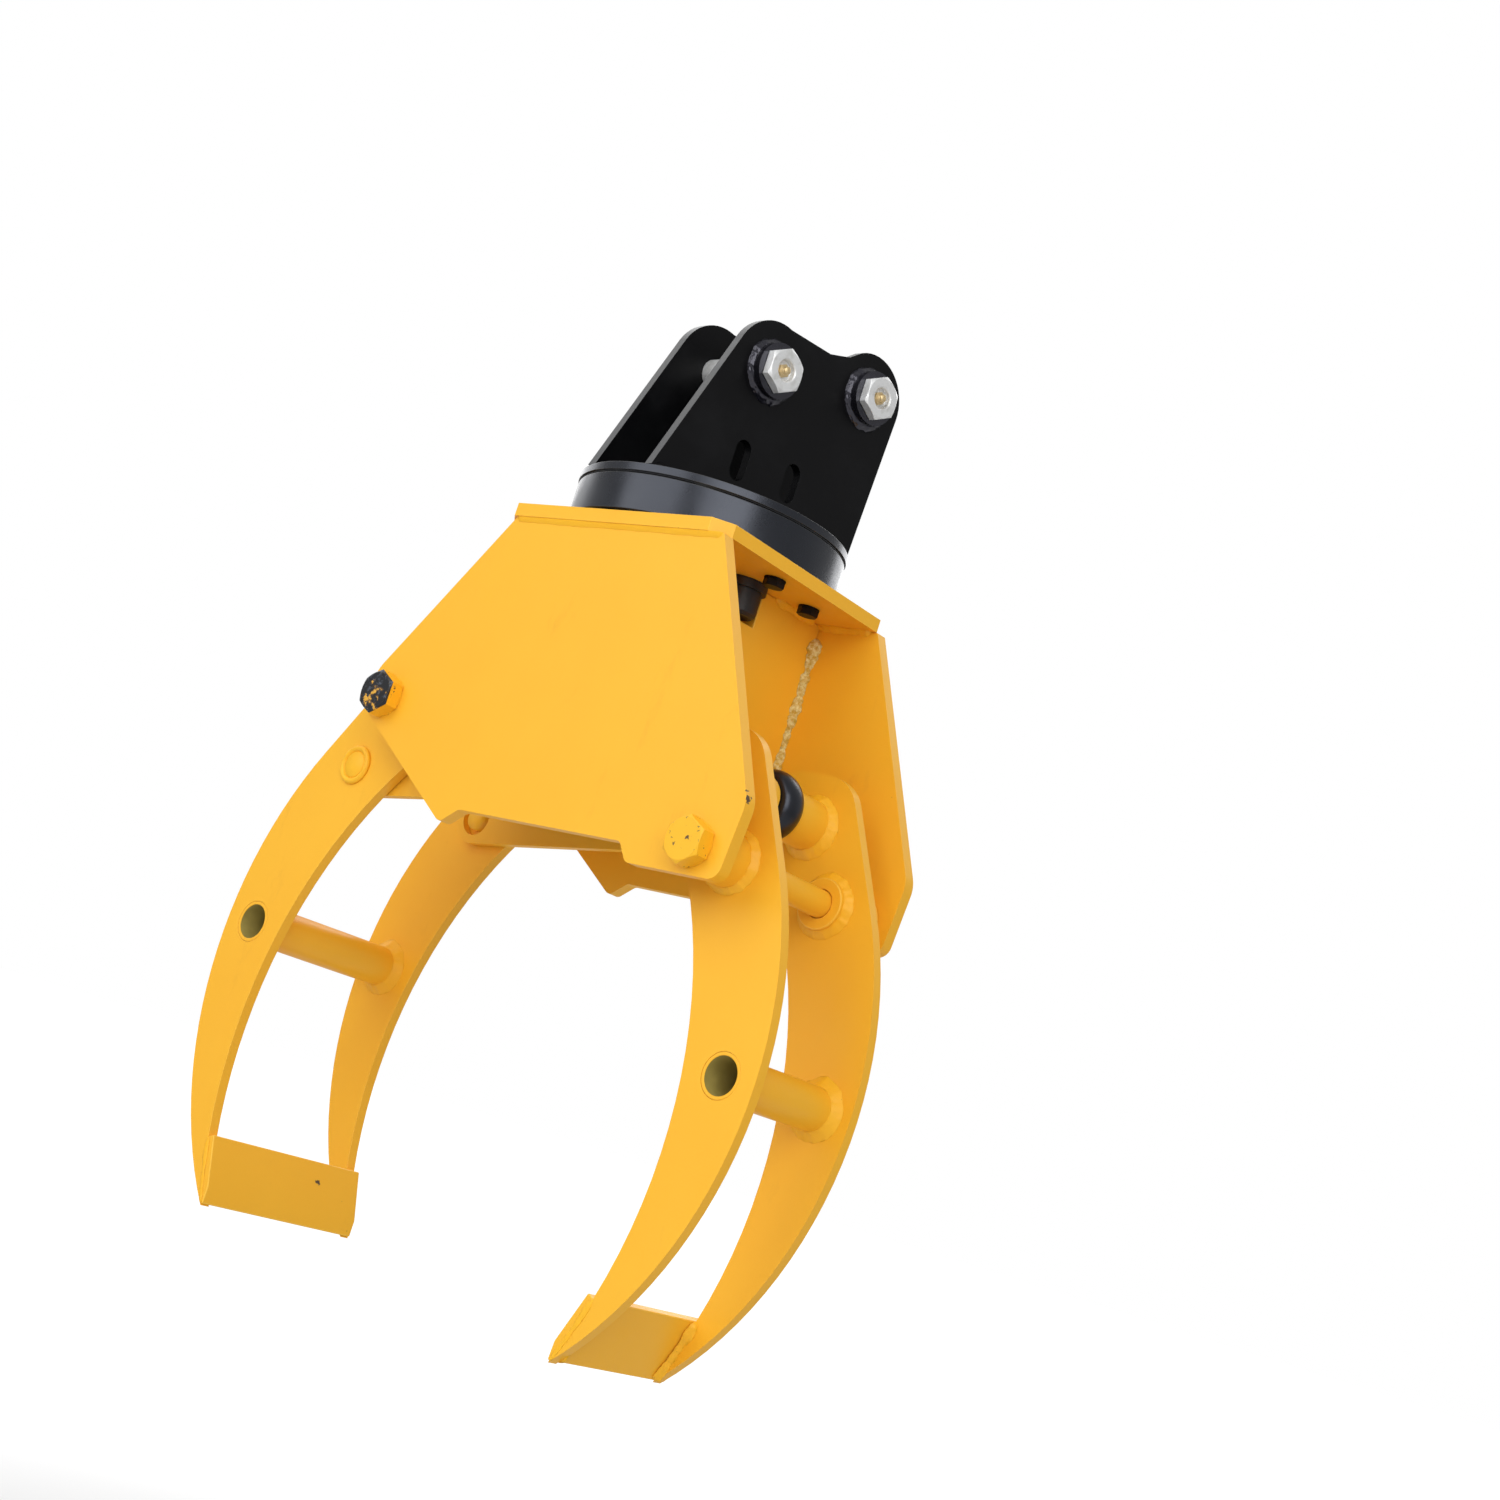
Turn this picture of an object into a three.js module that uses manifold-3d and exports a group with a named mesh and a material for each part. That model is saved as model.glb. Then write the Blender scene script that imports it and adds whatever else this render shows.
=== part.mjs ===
// Rotating log grapple for a mini excavator, about 0.89 m tall.
// Millimetres, +Z up, +X the way the jaws open, +Y along the jaw pivots.
// The machine carries it on the arm pin, whose middle is the origin.

import * as THREE from 'three';
import * as BufferGeometryUtils from 'three/addons/utils/BufferGeometryUtils.js';
import Module from 'manifold-3d';

const wasm = await Module();
wasm.setup();

// ---------- driving dimensions ----------
const GAP = 0.3;                    // space left between neighbouring pieces
const deg = Math.PI / 180;

const plateThick = 12;              // frame plates
const topHalf = [130, 123];         // top plate, half sizes along X and Y
const topChamfer = 15;
const sideOuter = 120;              // outer faces of the side plates
const sideInner = sideOuter - plateThick;
const wallX = 60;                   // middle of each cross wall
const wallThick = 10;
const wallFoot = -155;              // lower edge of the cross walls
const motorR = 18, motorFoot = -44; // the motor hangs in a notch of the right wall
const notchHalf = 21, notchFoot = -47;

const pivotLeft = [-202, -191];     // X, Z of the left jaw's pivot bolt
const pivotRight = [202, -270];     // X, Z of the right jaw's pivot bolt
const boltR = 12;                   // M24 pivot bolts
const boltHexR = 20.8;              // across corners, half
const boltHeadTall = 15;
const boltHoleR = boltR + GAP;

const tineThick = 10;
const leftOuter = 90;               // outer faces of the wide left jaw
const rightOuter = 70;              // outer faces of the narrow right jaw
const holePitch = 76;               // upper hole to lower hole in every tine
const tineOuterArc = { x: -292, z: -80, r: 334 };
const tineInnerArc = { x: -433, z: -73, r: 388 };
const tineEndR = 40;
const tineShoulder = { lean: -3.1 * deg, z: 4 };  // the outer edge runs straight to it
const braceHole = [-42, -244];
const braceR = 19, braceBoreR = 16;
const leftLean = 36.5 * deg;        // how far each tine leans at rest
const rightLean = 31.9 * deg;
const bladeLong = 62, bladeThick = 7;
const lipLong = 14, lipThick = 2;   // the blade's ground lip

const bossR = 22.5;                 // bosses and collars welded to the tines
const collarTall = 9;
const linkWide = 50, linkThick = 8; // sync links
const linkPinR = 11;
const linkLooseR = 16.8;            // free bore at the left end of each link
const crossPinR = 12;               // pin through the right jaw's upper holes
const eyeLooseR = 15.5;             // free bore of the cylinder's rod eye
const eyeR = 31, eyeWide = 27;

const barrelR = 30, barrelBoreR = 24, barrelStart = 46, barrelEnd = 262;
const rodR = 14, pistonR = barrelBoreR - GAP;

const drumR = 125, drumTop = 44, capThick = 8, drumWall = 6;
const gearModule = 3, ringTeeth = 54, pinionTeeth = 14;
const gearOffset = gearModule * (ringTeeth - pinionTeeth) / 2;
const pinionShaftR = 9;
const gearWide = 22, gearFloor = 8;
const swivelR = 30.5, swivelBoreR = 15.3;
const raceBoltCircle = 106, raceInnerR = 95.5, raceOuterR = 117.5;
const ringGearR = 94;
const slewBoltR = 5, slewBoltHoleR = 5.4;
// The slewing bolts stand clear of the walls and the side plates.
const slewBoltTurns = [-8, 32, 148, 172, 212, 317].map((turn) => turn * deg);

const headTurn = 82.4 * deg;        // the hanger's ears, turned from the jaws
const earThick = 9, earMiddle = 39;
const armPin = [93, 204];           // along the ear, up
const linkPin = [-24, 175];
const pinR = 14, pinBossR = 25, pinBossTall = 11;
const pinHexR = 21.5, pinHeadTall = 9;
const pocketR = 9.5, pocketDeep = 6;
const slotR = 9;                    // upright slots in the near ear
const earSlots = [[-27, 69, 107], [35, 75, 112]];  // along the ear, foot, top

// ---------- materials ----------
const paint = (color, roughness, metalness) =>
  new THREE.MeshStandardMaterial({ color, roughness, metalness });
const yellow = paint(0xf5b83d, 0.42, 0.0);
const black = paint(0x15161a, 0.3, 0.0);
const castBlack = paint(0x1d1e20, 0.5, 0.2);
const zinc = paint(0xb9bcc0, 0.35, 1.0);
const chrome = paint(0xd5d8dc, 0.12, 1.0);
const brass = paint(0xb08d4a, 0.35, 1.0);
const gearSteel = paint(0x6d7074, 0.4, 1.0);

// ---------- helpers ----------
const toSolid = (geometry) => {
  const bare = geometry.index ? geometry.clone() : geometry;
  bare.deleteAttribute('normal');
  bare.deleteAttribute('uv');
  const merged = BufferGeometryUtils.mergeVertices(bare, 1e-4);
  const vertProperties = new Float32Array(merged.attributes.position.array);
  const triVerts = new Uint32Array(merged.index.array);
  return new wasm.Manifold(new wasm.Mesh({ numProp: 3, vertProperties, triVerts }));
};

const toGeometry = (solid) => {
  const mesh = solid.getMesh();
  const geometry = new THREE.BufferGeometry();
  const points = new Float32Array(mesh.vertProperties);
  geometry.setAttribute('position', new THREE.BufferAttribute(points, 3));
  geometry.setIndex(new THREE.BufferAttribute(new Uint32Array(mesh.triVerts), 1));
  return geometry;
};

const join = (first, ...others) =>
  toGeometry(others.reduce((sum, g) => sum.add(toSolid(g)), toSolid(first)));
const cut = (first, ...others) =>
  toGeometry(others.reduce((sum, g) => sum.subtract(toSolid(g)), toSolid(first)));

const piece = (parent, name, geometry, material) => {
  const mesh = new THREE.Mesh(geometry, material);
  mesh.name = name;
  parent.add(mesh);
  return mesh;
};

// A shape drawn in X and Z, made solid between two Y planes.
const slab = (shape, yLow, yHigh, curveSegments = 24) =>
  new THREE.ExtrudeGeometry(shape, { depth: yHigh - yLow, bevelEnabled: false, curveSegments })
    .rotateX(Math.PI / 2).translate(0, yHigh, 0);

// Points along an arc, both ends included.
const arc = (x, z, r, from, to, steps) => Array.from({ length: steps + 1 }, (_, i) => {
  const angle = from + (to - from) * i / steps;
  return new THREE.Vector2(x + r * Math.cos(angle), z + r * Math.sin(angle));
});

const roundHole = (x, z, r, steps = 28) =>
  new THREE.Path(arc(x, z, r, 0, 2 * Math.PI, steps).slice(1));

// A shape through a list of points, leaving out any that repeat.
const shapeFrom = (points) => new THREE.Shape(
  points.filter((p, i) => p.distanceTo(points.at(i - 1)) > 0.01));

// A straight-sided outline with round corners: each point is [x, z, radius].
const outline = (corners) => {
  const points = corners.flatMap(([x, z, r = 0], i) => {
    const corner = new THREE.Vector2(x, z);
    if (r === 0) return [corner];
    const [beforeX, beforeZ] = corners.at(i - 1);
    const [afterX, afterZ] = corners[(i + 1) % corners.length];
    const back = new THREE.Vector2(beforeX, beforeZ).sub(corner).normalize();
    const ahead = new THREE.Vector2(afterX, afterZ).sub(corner).normalize();
    const half = Math.acos(back.dot(ahead)) / 2;
    const run = r / Math.tan(half);
    const middle = back.clone().add(ahead).normalize().multiplyScalar(r / Math.sin(half)).add(corner);
    const start = corner.clone().addScaledVector(back, run).sub(middle);
    const end = corner.clone().addScaledVector(ahead, run).sub(middle);
    const sweep = Math.atan2(start.cross(end), start.dot(end));
    return arc(middle.x, middle.y, r, start.angle(), start.angle() + sweep, 8);
  });
  return shapeFrom(points);
};

// A turned piece: profile points are [radius, height] along +Z.
const turned = (profile, segments = 40) =>
  new THREE.LatheGeometry(profile.map(([r, h]) => new THREE.Vector2(r, h)), segments)
    .rotateX(Math.PI / 2);
const ring = (inner, outer, low, high, segments = 40) =>
  turned([[inner, low], [outer, low], [outer, high], [inner, high], [inner, low]], segments);
const disc = (r, low, high, segments = 40) =>
  turned([[0, low], [r, low], [r, high], [0, high]], segments);
const hexagon = (r, low, high) => disc(r, low, high, 6);
const box = (x0, x1, y0, y1, z0, z1) =>
  new THREE.BoxGeometry(x1 - x0, y1 - y0, z1 - z0)
    .translate((x0 + x1) / 2, (y0 + y1) / 2, (z0 + z1) / 2);
// Lays a +Z piece along +Y through a point of the X, Z plane.
const alongY = (geometry, [x, z]) => geometry.rotateX(-Math.PI / 2).translate(x, 0, z);

// ---------- frame ----------
const grapple = new THREE.Group();
grapple.position.set(-armPin[0] * Math.cos(headTurn), -armPin[0] * Math.sin(headTurn), -armPin[1]);

const makeTopPlate = () => {
  const [hx, hy] = topHalf;
  const c = topChamfer;
  const shape = outline([[-hx, -hy + c], [-hx + c, -hy], [hx - c, -hy], [hx, -hy + c],
    [hx, hy - c], [hx - c, hy], [-hx + c, hy], [-hx, hy - c]]);
  shape.holes.push(roundHole(0, 0, swivelR + 0.5));
  shape.holes.push(roundHole(gearOffset, 0, motorR + 0.5));
  for (const turn of slewBoltTurns) {
    const x = raceBoltCircle * Math.cos(turn), y = raceBoltCircle * Math.sin(turn);
    shape.holes.push(roundHole(x, y, slewBoltHoleR, 14));
  }
  return new THREE.ExtrudeGeometry(shape, { depth: plateThick, bevelEnabled: false, curveSegments: 20 })
    .translate(0, 0, -plateThick);
};

const makeSidePlate = (yLow, yHigh) => {
  const shape = outline([[-114, -plateThick - GAP], [-226, -168, 34], [-229, -203, 30], [-85, -293, 8],
    [-66, -279, 8], [125, -279, 6], [137, -295, 8], [235, -295, 12], [241, -230, 30],
    [131, -plateThick - GAP]]);
  shape.holes.push(roundHole(...pivotLeft, boltHoleR));
  shape.holes.push(roundHole(...pivotRight, boltHoleR));
  return slab(shape, yLow, yHigh);
};

// The walls hold the side plates apart. The one beside the motor is notched round it.
const makeCrossWall = (x, notched) => {
  const y = sideInner - GAP;
  const wall = box(x - wallThick / 2, x + wallThick / 2, -y, y, wallFoot, -plateThick - GAP);
  if (!notched) return wall;
  return cut(wall, box(x - wallThick, x + wallThick, -notchHalf, notchHalf, notchFoot, 0));
};

piece(grapple, 'top_plate', makeTopPlate(), yellow);
piece(grapple, 'side_plate_near', makeSidePlate(-sideOuter, -sideInner), yellow);
piece(grapple, 'side_plate_far', makeSidePlate(sideInner, sideOuter), yellow);
piece(grapple, 'cross_wall_right', makeCrossWall(wallX, true), yellow);
piece(grapple, 'cross_wall_left', makeCrossWall(-wallX, false), yellow);

// ---------- pivot bolts ----------
const makePivotBolt = (place) => {
  const shank = disc(boltR, -sideOuter - boltHeadTall, sideOuter + 24, 28);
  const head = hexagon(boltHexR, -sideOuter - boltHeadTall - GAP, -sideOuter - GAP);
  return alongY(join(shank, head), place);
};
const makePivotNut = (place) => {
  const low = sideOuter + GAP;
  return alongY(cut(hexagon(boltHexR, low, low + 19), disc(boltHoleR, low - 1, low + 20, 28)), place);
};
piece(grapple, 'left_pivot_bolt', makePivotBolt(pivotLeft), yellow);
piece(grapple, 'left_pivot_nut', makePivotNut(pivotLeft), yellow);
piece(grapple, 'right_pivot_bolt', makePivotBolt(pivotRight), yellow);
piece(grapple, 'right_pivot_nut', makePivotNut(pivotRight), yellow);

// ---------- slewing ring, motor and pinion ----------
const gearOutline = (teeth, inside) => {
  const pitch = gearModule * teeth / 2;
  const tip = inside ? pitch - gearModule * 0.85 : pitch + gearModule * 0.85;
  const root = inside ? pitch + gearModule * 1.15 : pitch - gearModule * 1.15;
  const step = 2 * Math.PI / teeth;
  const points = [];
  for (let i = 0; i < teeth; i += 1) {
    const at = (part, r) => points.push(
      new THREE.Vector2(r * Math.cos((i + part) * step), r * Math.sin((i + part) * step)));
    at(-0.33, root);
    at(-0.11, tip);
    at(0.11, tip);
    at(0.33, root);
  }
  return points;
};

const makeRingGear = () => {
  const shape = new THREE.Shape(arc(0, 0, ringGearR, 0, 2 * Math.PI, 72).slice(1));
  shape.holes.push(new THREE.Path(gearOutline(ringTeeth, true)));
  return new THREE.ExtrudeGeometry(shape, { depth: gearWide, bevelEnabled: false, curveSegments: 48 })
    .rotateZ(Math.PI / ringTeeth - headTurn).translate(0, 0, gearFloor);
};

const makePinion = () => {
  const shape = new THREE.Shape(gearOutline(pinionTeeth, false));
  const teeth = new THREE.ExtrudeGeometry(shape, { depth: gearWide - 4, bevelEnabled: false })
    .translate(0, 0, gearFloor + 2);
  return join(teeth, disc(pinionShaftR, -10, gearFloor + 4, 24)).translate(gearOffset, 0, 0);
};

// The motor: its nose fills the plate's hole and holds the pinion shaft, its ports face the swivel.
const makeMotor = () => {
  const under = -plateThick - GAP;
  const body = turned([[0, motorFoot], [motorR - 4, motorFoot], [motorR - 1, motorFoot + 3],
    [motorR - 1, under - 8], [motorR + 2.5, under - 8], [motorR + 2.5, under], [motorR, under],
    [motorR, -2], [pinionShaftR + 0.6, -2], [pinionShaftR + 0.6, -11], [0, -11]], 36);
  const ports = [-8.5, 8.5].map((y) =>
    disc(6.5, 0, 26, 18).rotateY(-Math.PI / 2).translate(0, y, motorFoot + 12));
  return join(body, ...ports).translate(gearOffset, 0, 0);
};

const makeRace = () => {
  const body = ring(raceInnerR, raceOuterR, GAP, 30, 56);
  const threads = slewBoltTurns.map((turn) =>
    disc(slewBoltHoleR, -1, 20, 16).translate(raceBoltCircle, 0, 0).rotateZ(turn));
  return cut(body, ...threads);
};

piece(grapple, 'slew_race', makeRace(), gearSteel);
piece(grapple, 'slew_motor', makeMotor(), castBlack);
piece(grapple, 'drive_pinion', makePinion(), gearSteel);
slewBoltTurns.forEach((turn, i) => {
  const bolt = join(disc(slewBoltR, -16, 18, 16), hexagon(9.8, -20, -plateThick - GAP));
  piece(grapple, `slew_bolt_${i + 1}`, bolt.translate(raceBoltCircle, 0, 0).rotateZ(turn), black);
});

// The oil swivel: its housing hangs in the top plate, its core hangs from the drum cap.
const swivelHousing = ring(swivelBoreR, swivelR, -64, 12, 36);
const swivelFlange = ring(swivelBoreR, swivelR + 2, -22, -plateThick - GAP, 36);
const swivelPorts = [-1, 1].map((side) =>
  disc(7, 20, 40, 16).rotateX(side * Math.PI / 2).translate(0, 0, -44));
piece(grapple, 'swivel_housing', join(swivelHousing, swivelFlange, ...swivelPorts), castBlack);
piece(grapple, 'swivel_core', disc(15, -60, drumTop - capThick - GAP, 32), gearSteel);

// ---------- jaws ----------
const arcsMeet = (a, b) => {
  const span = Math.hypot(b.x - a.x, b.z - a.z);
  const along = (a.r ** 2 - b.r ** 2 + span ** 2) / (2 * span);
  const across = Math.sqrt(a.r ** 2 - along ** 2);
  const ux = (b.x - a.x) / span, uz = (b.z - a.z) / span;
  return [1, -1].map((s) => [a.x + ux * along - s * uz * across, a.z + uz * along + s * ux * across]);
};
const lower = (pair) => (pair[0][1] < pair[1][1] ? pair[0] : pair[1]);
const upper = (pair) => (pair[0][1] < pair[1][1] ? pair[1] : pair[0]);
const tipPoint = lower(arcsMeet(tineOuterArc, tineInnerArc));
const endMiddle = upper(arcsMeet({ ...tineOuterArc, r: tineOuterArc.r - tineEndR },
  { ...tineInnerArc, r: tineInnerArc.r + tineEndR }));
const angleOf = (arc, [x, z]) => Math.atan2(z - arc.z, x - arc.x);

// Tines are drawn with the upper hole at the origin, the hollow side towards -X.
const tineShape = (holeRadii) => {
  const { x: outerX, z: outerZ, r: outerR } = tineOuterArc;
  const { x: innerX, z: innerZ, r: innerR } = tineInnerArc;
  const { lean, z: shoulderZ } = tineShoulder;
  const inset = outerR - tineEndR - (shoulderZ - outerZ) * Math.sin(lean);
  const shoulderX = outerX + inset / Math.cos(lean);
  const slope = Math.atan2(endMiddle[1] - shoulderZ, endMiddle[0] - shoulderX) - Math.PI / 2;
  const innerTop = angleOf(tineInnerArc, endMiddle);
  const shape = shapeFrom([
    ...arc(outerX, outerZ, outerR, angleOf(tineOuterArc, tipPoint), lean, 26),
    ...arc(shoulderX, shoulderZ, tineEndR, lean, slope, 8),
    ...arc(...endMiddle, tineEndR, slope, innerTop + Math.PI, 14),
    ...arc(innerX, innerZ, innerR, innerTop, angleOf(tineInnerArc, tipPoint), 24),
  ]);
  const [top, bottom] = holeRadii;
  shape.holes.push(roundHole(0, 0, top));
  shape.holes.push(roundHole(0, -holePitch, bottom));
  shape.holes.push(roundHole(...braceHole, braceR + GAP));
  return shape;
};

// The blade lies on the hollow edges, from the tips upwards, with a ground lip.
const bladeShape = () => {
  const tipAngle = angleOf(tineInnerArc, tipPoint);
  const onArc = (angle, r) => [tineInnerArc.x + r * Math.cos(angle), tineInnerArc.z + r * Math.sin(angle)];
  const r = tineInnerArc.r;
  const topAngle = tipAngle + bladeLong / r;
  const foot = onArc(tipAngle + 0.004, r - GAP);
  const head = onArc(topAngle, r - GAP);
  const long = Math.hypot(head[0] - foot[0], head[1] - foot[1]);
  const ux = (head[0] - foot[0]) / long, uz = (head[1] - foot[1]) / long;
  const out = (along, deep) =>
    new THREE.Vector2(foot[0] + ux * along - uz * deep, foot[1] + uz * along + ux * deep);
  return new THREE.Shape([out(0, 0), out(long, 0), out(long, bladeThick), out(lipLong, bladeThick),
    out(0, lipThick)]);
};

const jawGroup = (side, place, lean, upperHoleIsPivot) => {
  const swing = new THREE.Group();
  swing.position.set(place[0], 0, place[1]);
  swing.rotation.y = -side * lean;
  const inner = new THREE.Group();
  inner.position.z = upperHoleIsPivot ? 0 : holePitch;
  swing.add(inner);
  grapple.add(swing);
  return inner;
};
const mirrored = (geometry) => toGeometry(toSolid(geometry).mirror([1, 0, 0]));
const sided = (side, geometry) => (side > 0 ? geometry : mirrored(geometry));
const lug = (inner, outer, low, high) => alongY(ring(inner, outer, low, high, 32), [0, 0]);

const makeJaw = (label, side, group, outer, holeRadii) => {
  const shape = tineShape(holeRadii);
  const near = sided(side, slab(shape, -outer, -outer + tineThick));
  const far = sided(side, slab(shape, outer - tineThick, outer));
  piece(group, `${label}_tine_near`, near, yellow);
  piece(group, `${label}_tine_far`, far, yellow);
  const tube = alongY(ring(braceBoreR, braceR, -outer, outer, 36), [side * braceHole[0], braceHole[1]]);
  piece(group, `${label}_brace_tube`, tube, yellow);
  piece(group, `${label}_blade`, sided(side, slab(bladeShape(), -outer, outer)), yellow);
};

const leftJaw = jawGroup(-1, pivotLeft, leftLean, true);
makeJaw('left', -1, leftJaw, leftOuter, [boltHoleR, linkPinR + GAP]);
piece(leftJaw, 'left_pivot_boss_near',
  lug(boltHoleR + GAP, bossR, -sideInner + 1, -leftOuter - GAP), yellow);
piece(leftJaw, 'left_pivot_boss_far',
  lug(boltHoleR + GAP, bossR, leftOuter + GAP, sideInner - 1), yellow);
for (const [label, sign] of [['near', -1], ['far', 1]]) {
  const shank = disc(linkPinR, -leftOuter - 1, -rightOuter - 1, 28);
  const collar = disc(18.5, -leftOuter - 4, -leftOuter - GAP, 32);
  const pin = alongY(join(shank, collar), [0, 0]);
  const turnedPin = sign < 0 ? pin : pin.rotateZ(Math.PI);
  piece(leftJaw, `left_link_pin_${label}`, turnedPin.translate(0, 0, -holePitch), yellow);
}

const rightJaw = jawGroup(1, pivotRight, rightLean, false);
makeJaw('right', 1, rightJaw, rightOuter, [crossPinR + GAP, boltHoleR]);
piece(rightJaw, 'right_pivot_boss_near',
  lug(boltHoleR + GAP, bossR, -sideInner + 1, -rightOuter - GAP).translate(0, 0, -holePitch), yellow);
piece(rightJaw, 'right_pivot_boss_far',
  lug(boltHoleR + GAP, bossR, rightOuter + GAP, sideInner - 1).translate(0, 0, -holePitch), yellow);
piece(rightJaw, 'right_pivot_collar_near', lug(boltHoleR + GAP, bossR,
  -rightOuter + tineThick + GAP, -rightOuter + tineThick + collarTall).translate(0, 0, -holePitch), yellow);
piece(rightJaw, 'right_pivot_collar_far', lug(boltHoleR + GAP, bossR,
  rightOuter - tineThick - collarTall, rightOuter - tineThick - GAP).translate(0, 0, -holePitch), yellow);
const bossEnd = eyeWide / 2 + 1.5;
piece(rightJaw, 'cylinder_boss_near',
  lug(crossPinR + GAP, bossR, -rightOuter + tineThick + GAP, -bossEnd), yellow);
piece(rightJaw, 'cylinder_boss_far',
  lug(crossPinR + GAP, bossR, bossEnd, rightOuter - tineThick - GAP), yellow);
const crossPinEnd = rightOuter + linkThick + 4;
const crossPin = join(disc(crossPinR, -crossPinEnd, crossPinEnd, 28),
  disc(17, -crossPinEnd - 5, -crossPinEnd, 28));
piece(rightJaw, 'cross_pin', alongY(crossPin, [0, 0]), yellow);

// ---------- sync links ----------
const upperHole = ([x, z], lean) => [x - holePitch * Math.sin(lean), z + holePitch * Math.cos(lean)];
const linkRight = upperHole(pivotRight, rightLean);
const linkLeft = [pivotLeft[0] - holePitch * Math.sin(leftLean),
  pivotLeft[1] - holePitch * Math.cos(leftLean)];
const linkSpan = Math.hypot(linkRight[0] - linkLeft[0], linkRight[1] - linkLeft[1]);
const linkTilt = Math.atan2(linkRight[1] - linkLeft[1], linkRight[0] - linkLeft[0]);
const linkMiddleY = rightOuter + 5;

const makeLink = (y) => {
  const shape = shapeFrom([...arc(0, 0, linkWide / 2, -Math.PI / 2, Math.PI / 2, 16),
    ...arc(-linkSpan, 0, linkWide / 2, Math.PI / 2, 1.5 * Math.PI, 16)]);
  shape.holes.push(roundHole(0, 0, crossPinR + GAP));
  shape.holes.push(roundHole(-linkSpan, 0, linkLooseR));
  return slab(shape, y - linkThick / 2, y + linkThick / 2);
};
const links = new THREE.Group();
links.position.set(linkRight[0], 0, linkRight[1]);
links.rotation.y = -linkTilt;
grapple.add(links);
piece(links, 'sync_link_near', makeLink(-linkMiddleY), yellow);
piece(links, 'sync_link_far', makeLink(linkMiddleY), yellow);

// ---------- hydraulic cylinder ----------
const cylinderSpan = Math.hypot(linkRight[0] - pivotLeft[0], linkRight[1] - pivotLeft[1]);
const cylinderTilt = Math.atan2(linkRight[1] - pivotLeft[1], linkRight[0] - pivotLeft[0]);
const cylinder = new THREE.Group();
cylinder.position.set(pivotLeft[0], 0, pivotLeft[1]);
cylinder.rotation.y = -cylinderTilt;
grapple.add(cylinder);
const alongX = (geometry) => geometry.rotateY(Math.PI / 2);

const makeBarrel = () => {
  const tube = alongX(turned([[0, barrelStart - 8], [26, barrelStart - 8], [barrelR, barrelStart],
    [barrelR, barrelEnd], [barrelBoreR, barrelEnd], [barrelBoreR, barrelStart + 10], [0, barrelStart + 10]], 40));
  const eye = alongY(disc(30, -14, 14, 36), [0, 0]);
  const neck = box(14, barrelStart + 2, -14, 14, -20, 20);
  const ports = [barrelStart + 24, barrelEnd - 14].map((x) =>
    disc(9, barrelR - 3, barrelR + 12, 16).rotateX(Math.PI).translate(x, 0, 0));
  return cut(join(tube, eye, neck, ...ports), alongY(disc(boltHoleR + GAP, -20, 20, 28), [0, 0]));
};
piece(cylinder, 'cylinder_barrel', makeBarrel(), castBlack);
const makeGland = () => {
  const bore = rodR + GAP, spigot = barrelBoreR - GAP, collar = barrelR - 2;
  return alongX(turned([[bore, barrelEnd - 22], [spigot, barrelEnd - 22], [spigot, barrelEnd + GAP],
    [collar, barrelEnd + GAP], [collar, barrelEnd + 8], [bore, barrelEnd + 8], [bore, barrelEnd - 22]], 40));
};
piece(cylinder, 'cylinder_gland', makeGland(), castBlack);
piece(cylinder, 'cylinder_rod',
  alongX(disc(rodR, barrelEnd - 66, cylinderSpan - eyeR - 2, 32)), chrome);
piece(cylinder, 'cylinder_piston',
  alongX(turned([[0, barrelEnd - 90], [pistonR, barrelEnd - 90], [pistonR, barrelEnd - 66 - GAP],
    [0, barrelEnd - 66 - GAP]], 40)), gearSteel);
const rodEye = alongY(disc(eyeR, -eyeWide / 2, eyeWide / 2, 40), [cylinderSpan, 0]);
const rodNeck = alongX(disc(17, cylinderSpan - eyeR - 2 + GAP, cylinderSpan - 24, 24));
piece(cylinder, 'rod_eye',
  cut(join(rodEye, rodNeck), alongY(disc(eyeLooseR, -20, 20, 32), [cylinderSpan, 0])), castBlack);

// ---------- rotating head ----------
const head = new THREE.Group();
head.rotation.z = headTurn;
grapple.add(head);

piece(head, 'drum_cap', disc(drumR, drumTop - capThick, drumTop, 72), black);
piece(head, 'drum_skirt', ring(drumR - drumWall, drumR - 0.8, 2, drumTop - capThick - GAP, 72), black);
piece(head, 'ring_gear', makeRingGear(), gearSteel);

const earOutline = (slots) => {
  const low = drumTop + GAP;
  const shape = shapeFrom([
    new THREE.Vector2(-118, low),
    ...arc(...linkPin, 45, 160 * deg, 80 * deg, 12),
    new THREE.Vector2(35, 221),
    new THREE.Vector2(58, 229),
    ...arc(...armPin, 42, 122 * deg, -4 * deg, 16),
    new THREE.Vector2(126, low),
  ]);
  shape.holes.push(roundHole(...armPin, pinR + GAP));
  shape.holes.push(roundHole(...linkPin, pinR + GAP));
  for (const [x, z0, z1] of slots) {
    shape.holes.push(new THREE.Path([...arc(x, z1 - slotR, slotR, 0, Math.PI, 10),
      ...arc(x, z0 + slotR, slotR, Math.PI, 2 * Math.PI, 10)]));
  }
  return shape;
};
// Each ear carries a boss at each pin, welded to its outer face. The near one has two upright slots.
const makeEar = (side) => {
  const y = side * earMiddle;
  const plate = slab(earOutline(side < 0 ? earSlots : []), y - earThick / 2, y + earThick / 2);
  const bosses = [armPin, linkPin].map((place) => {
    const from = side > 0 ? y + earThick / 2 - 1 : y - earThick / 2 - pinBossTall;
    return alongY(ring(pinR + GAP, pinBossR, from, from + pinBossTall + 1, 40), place);
  });
  return join(plate, ...bosses);
};
piece(head, 'ear_near', makeEar(-1), black);
piece(head, 'ear_far', makeEar(1), black);

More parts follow.
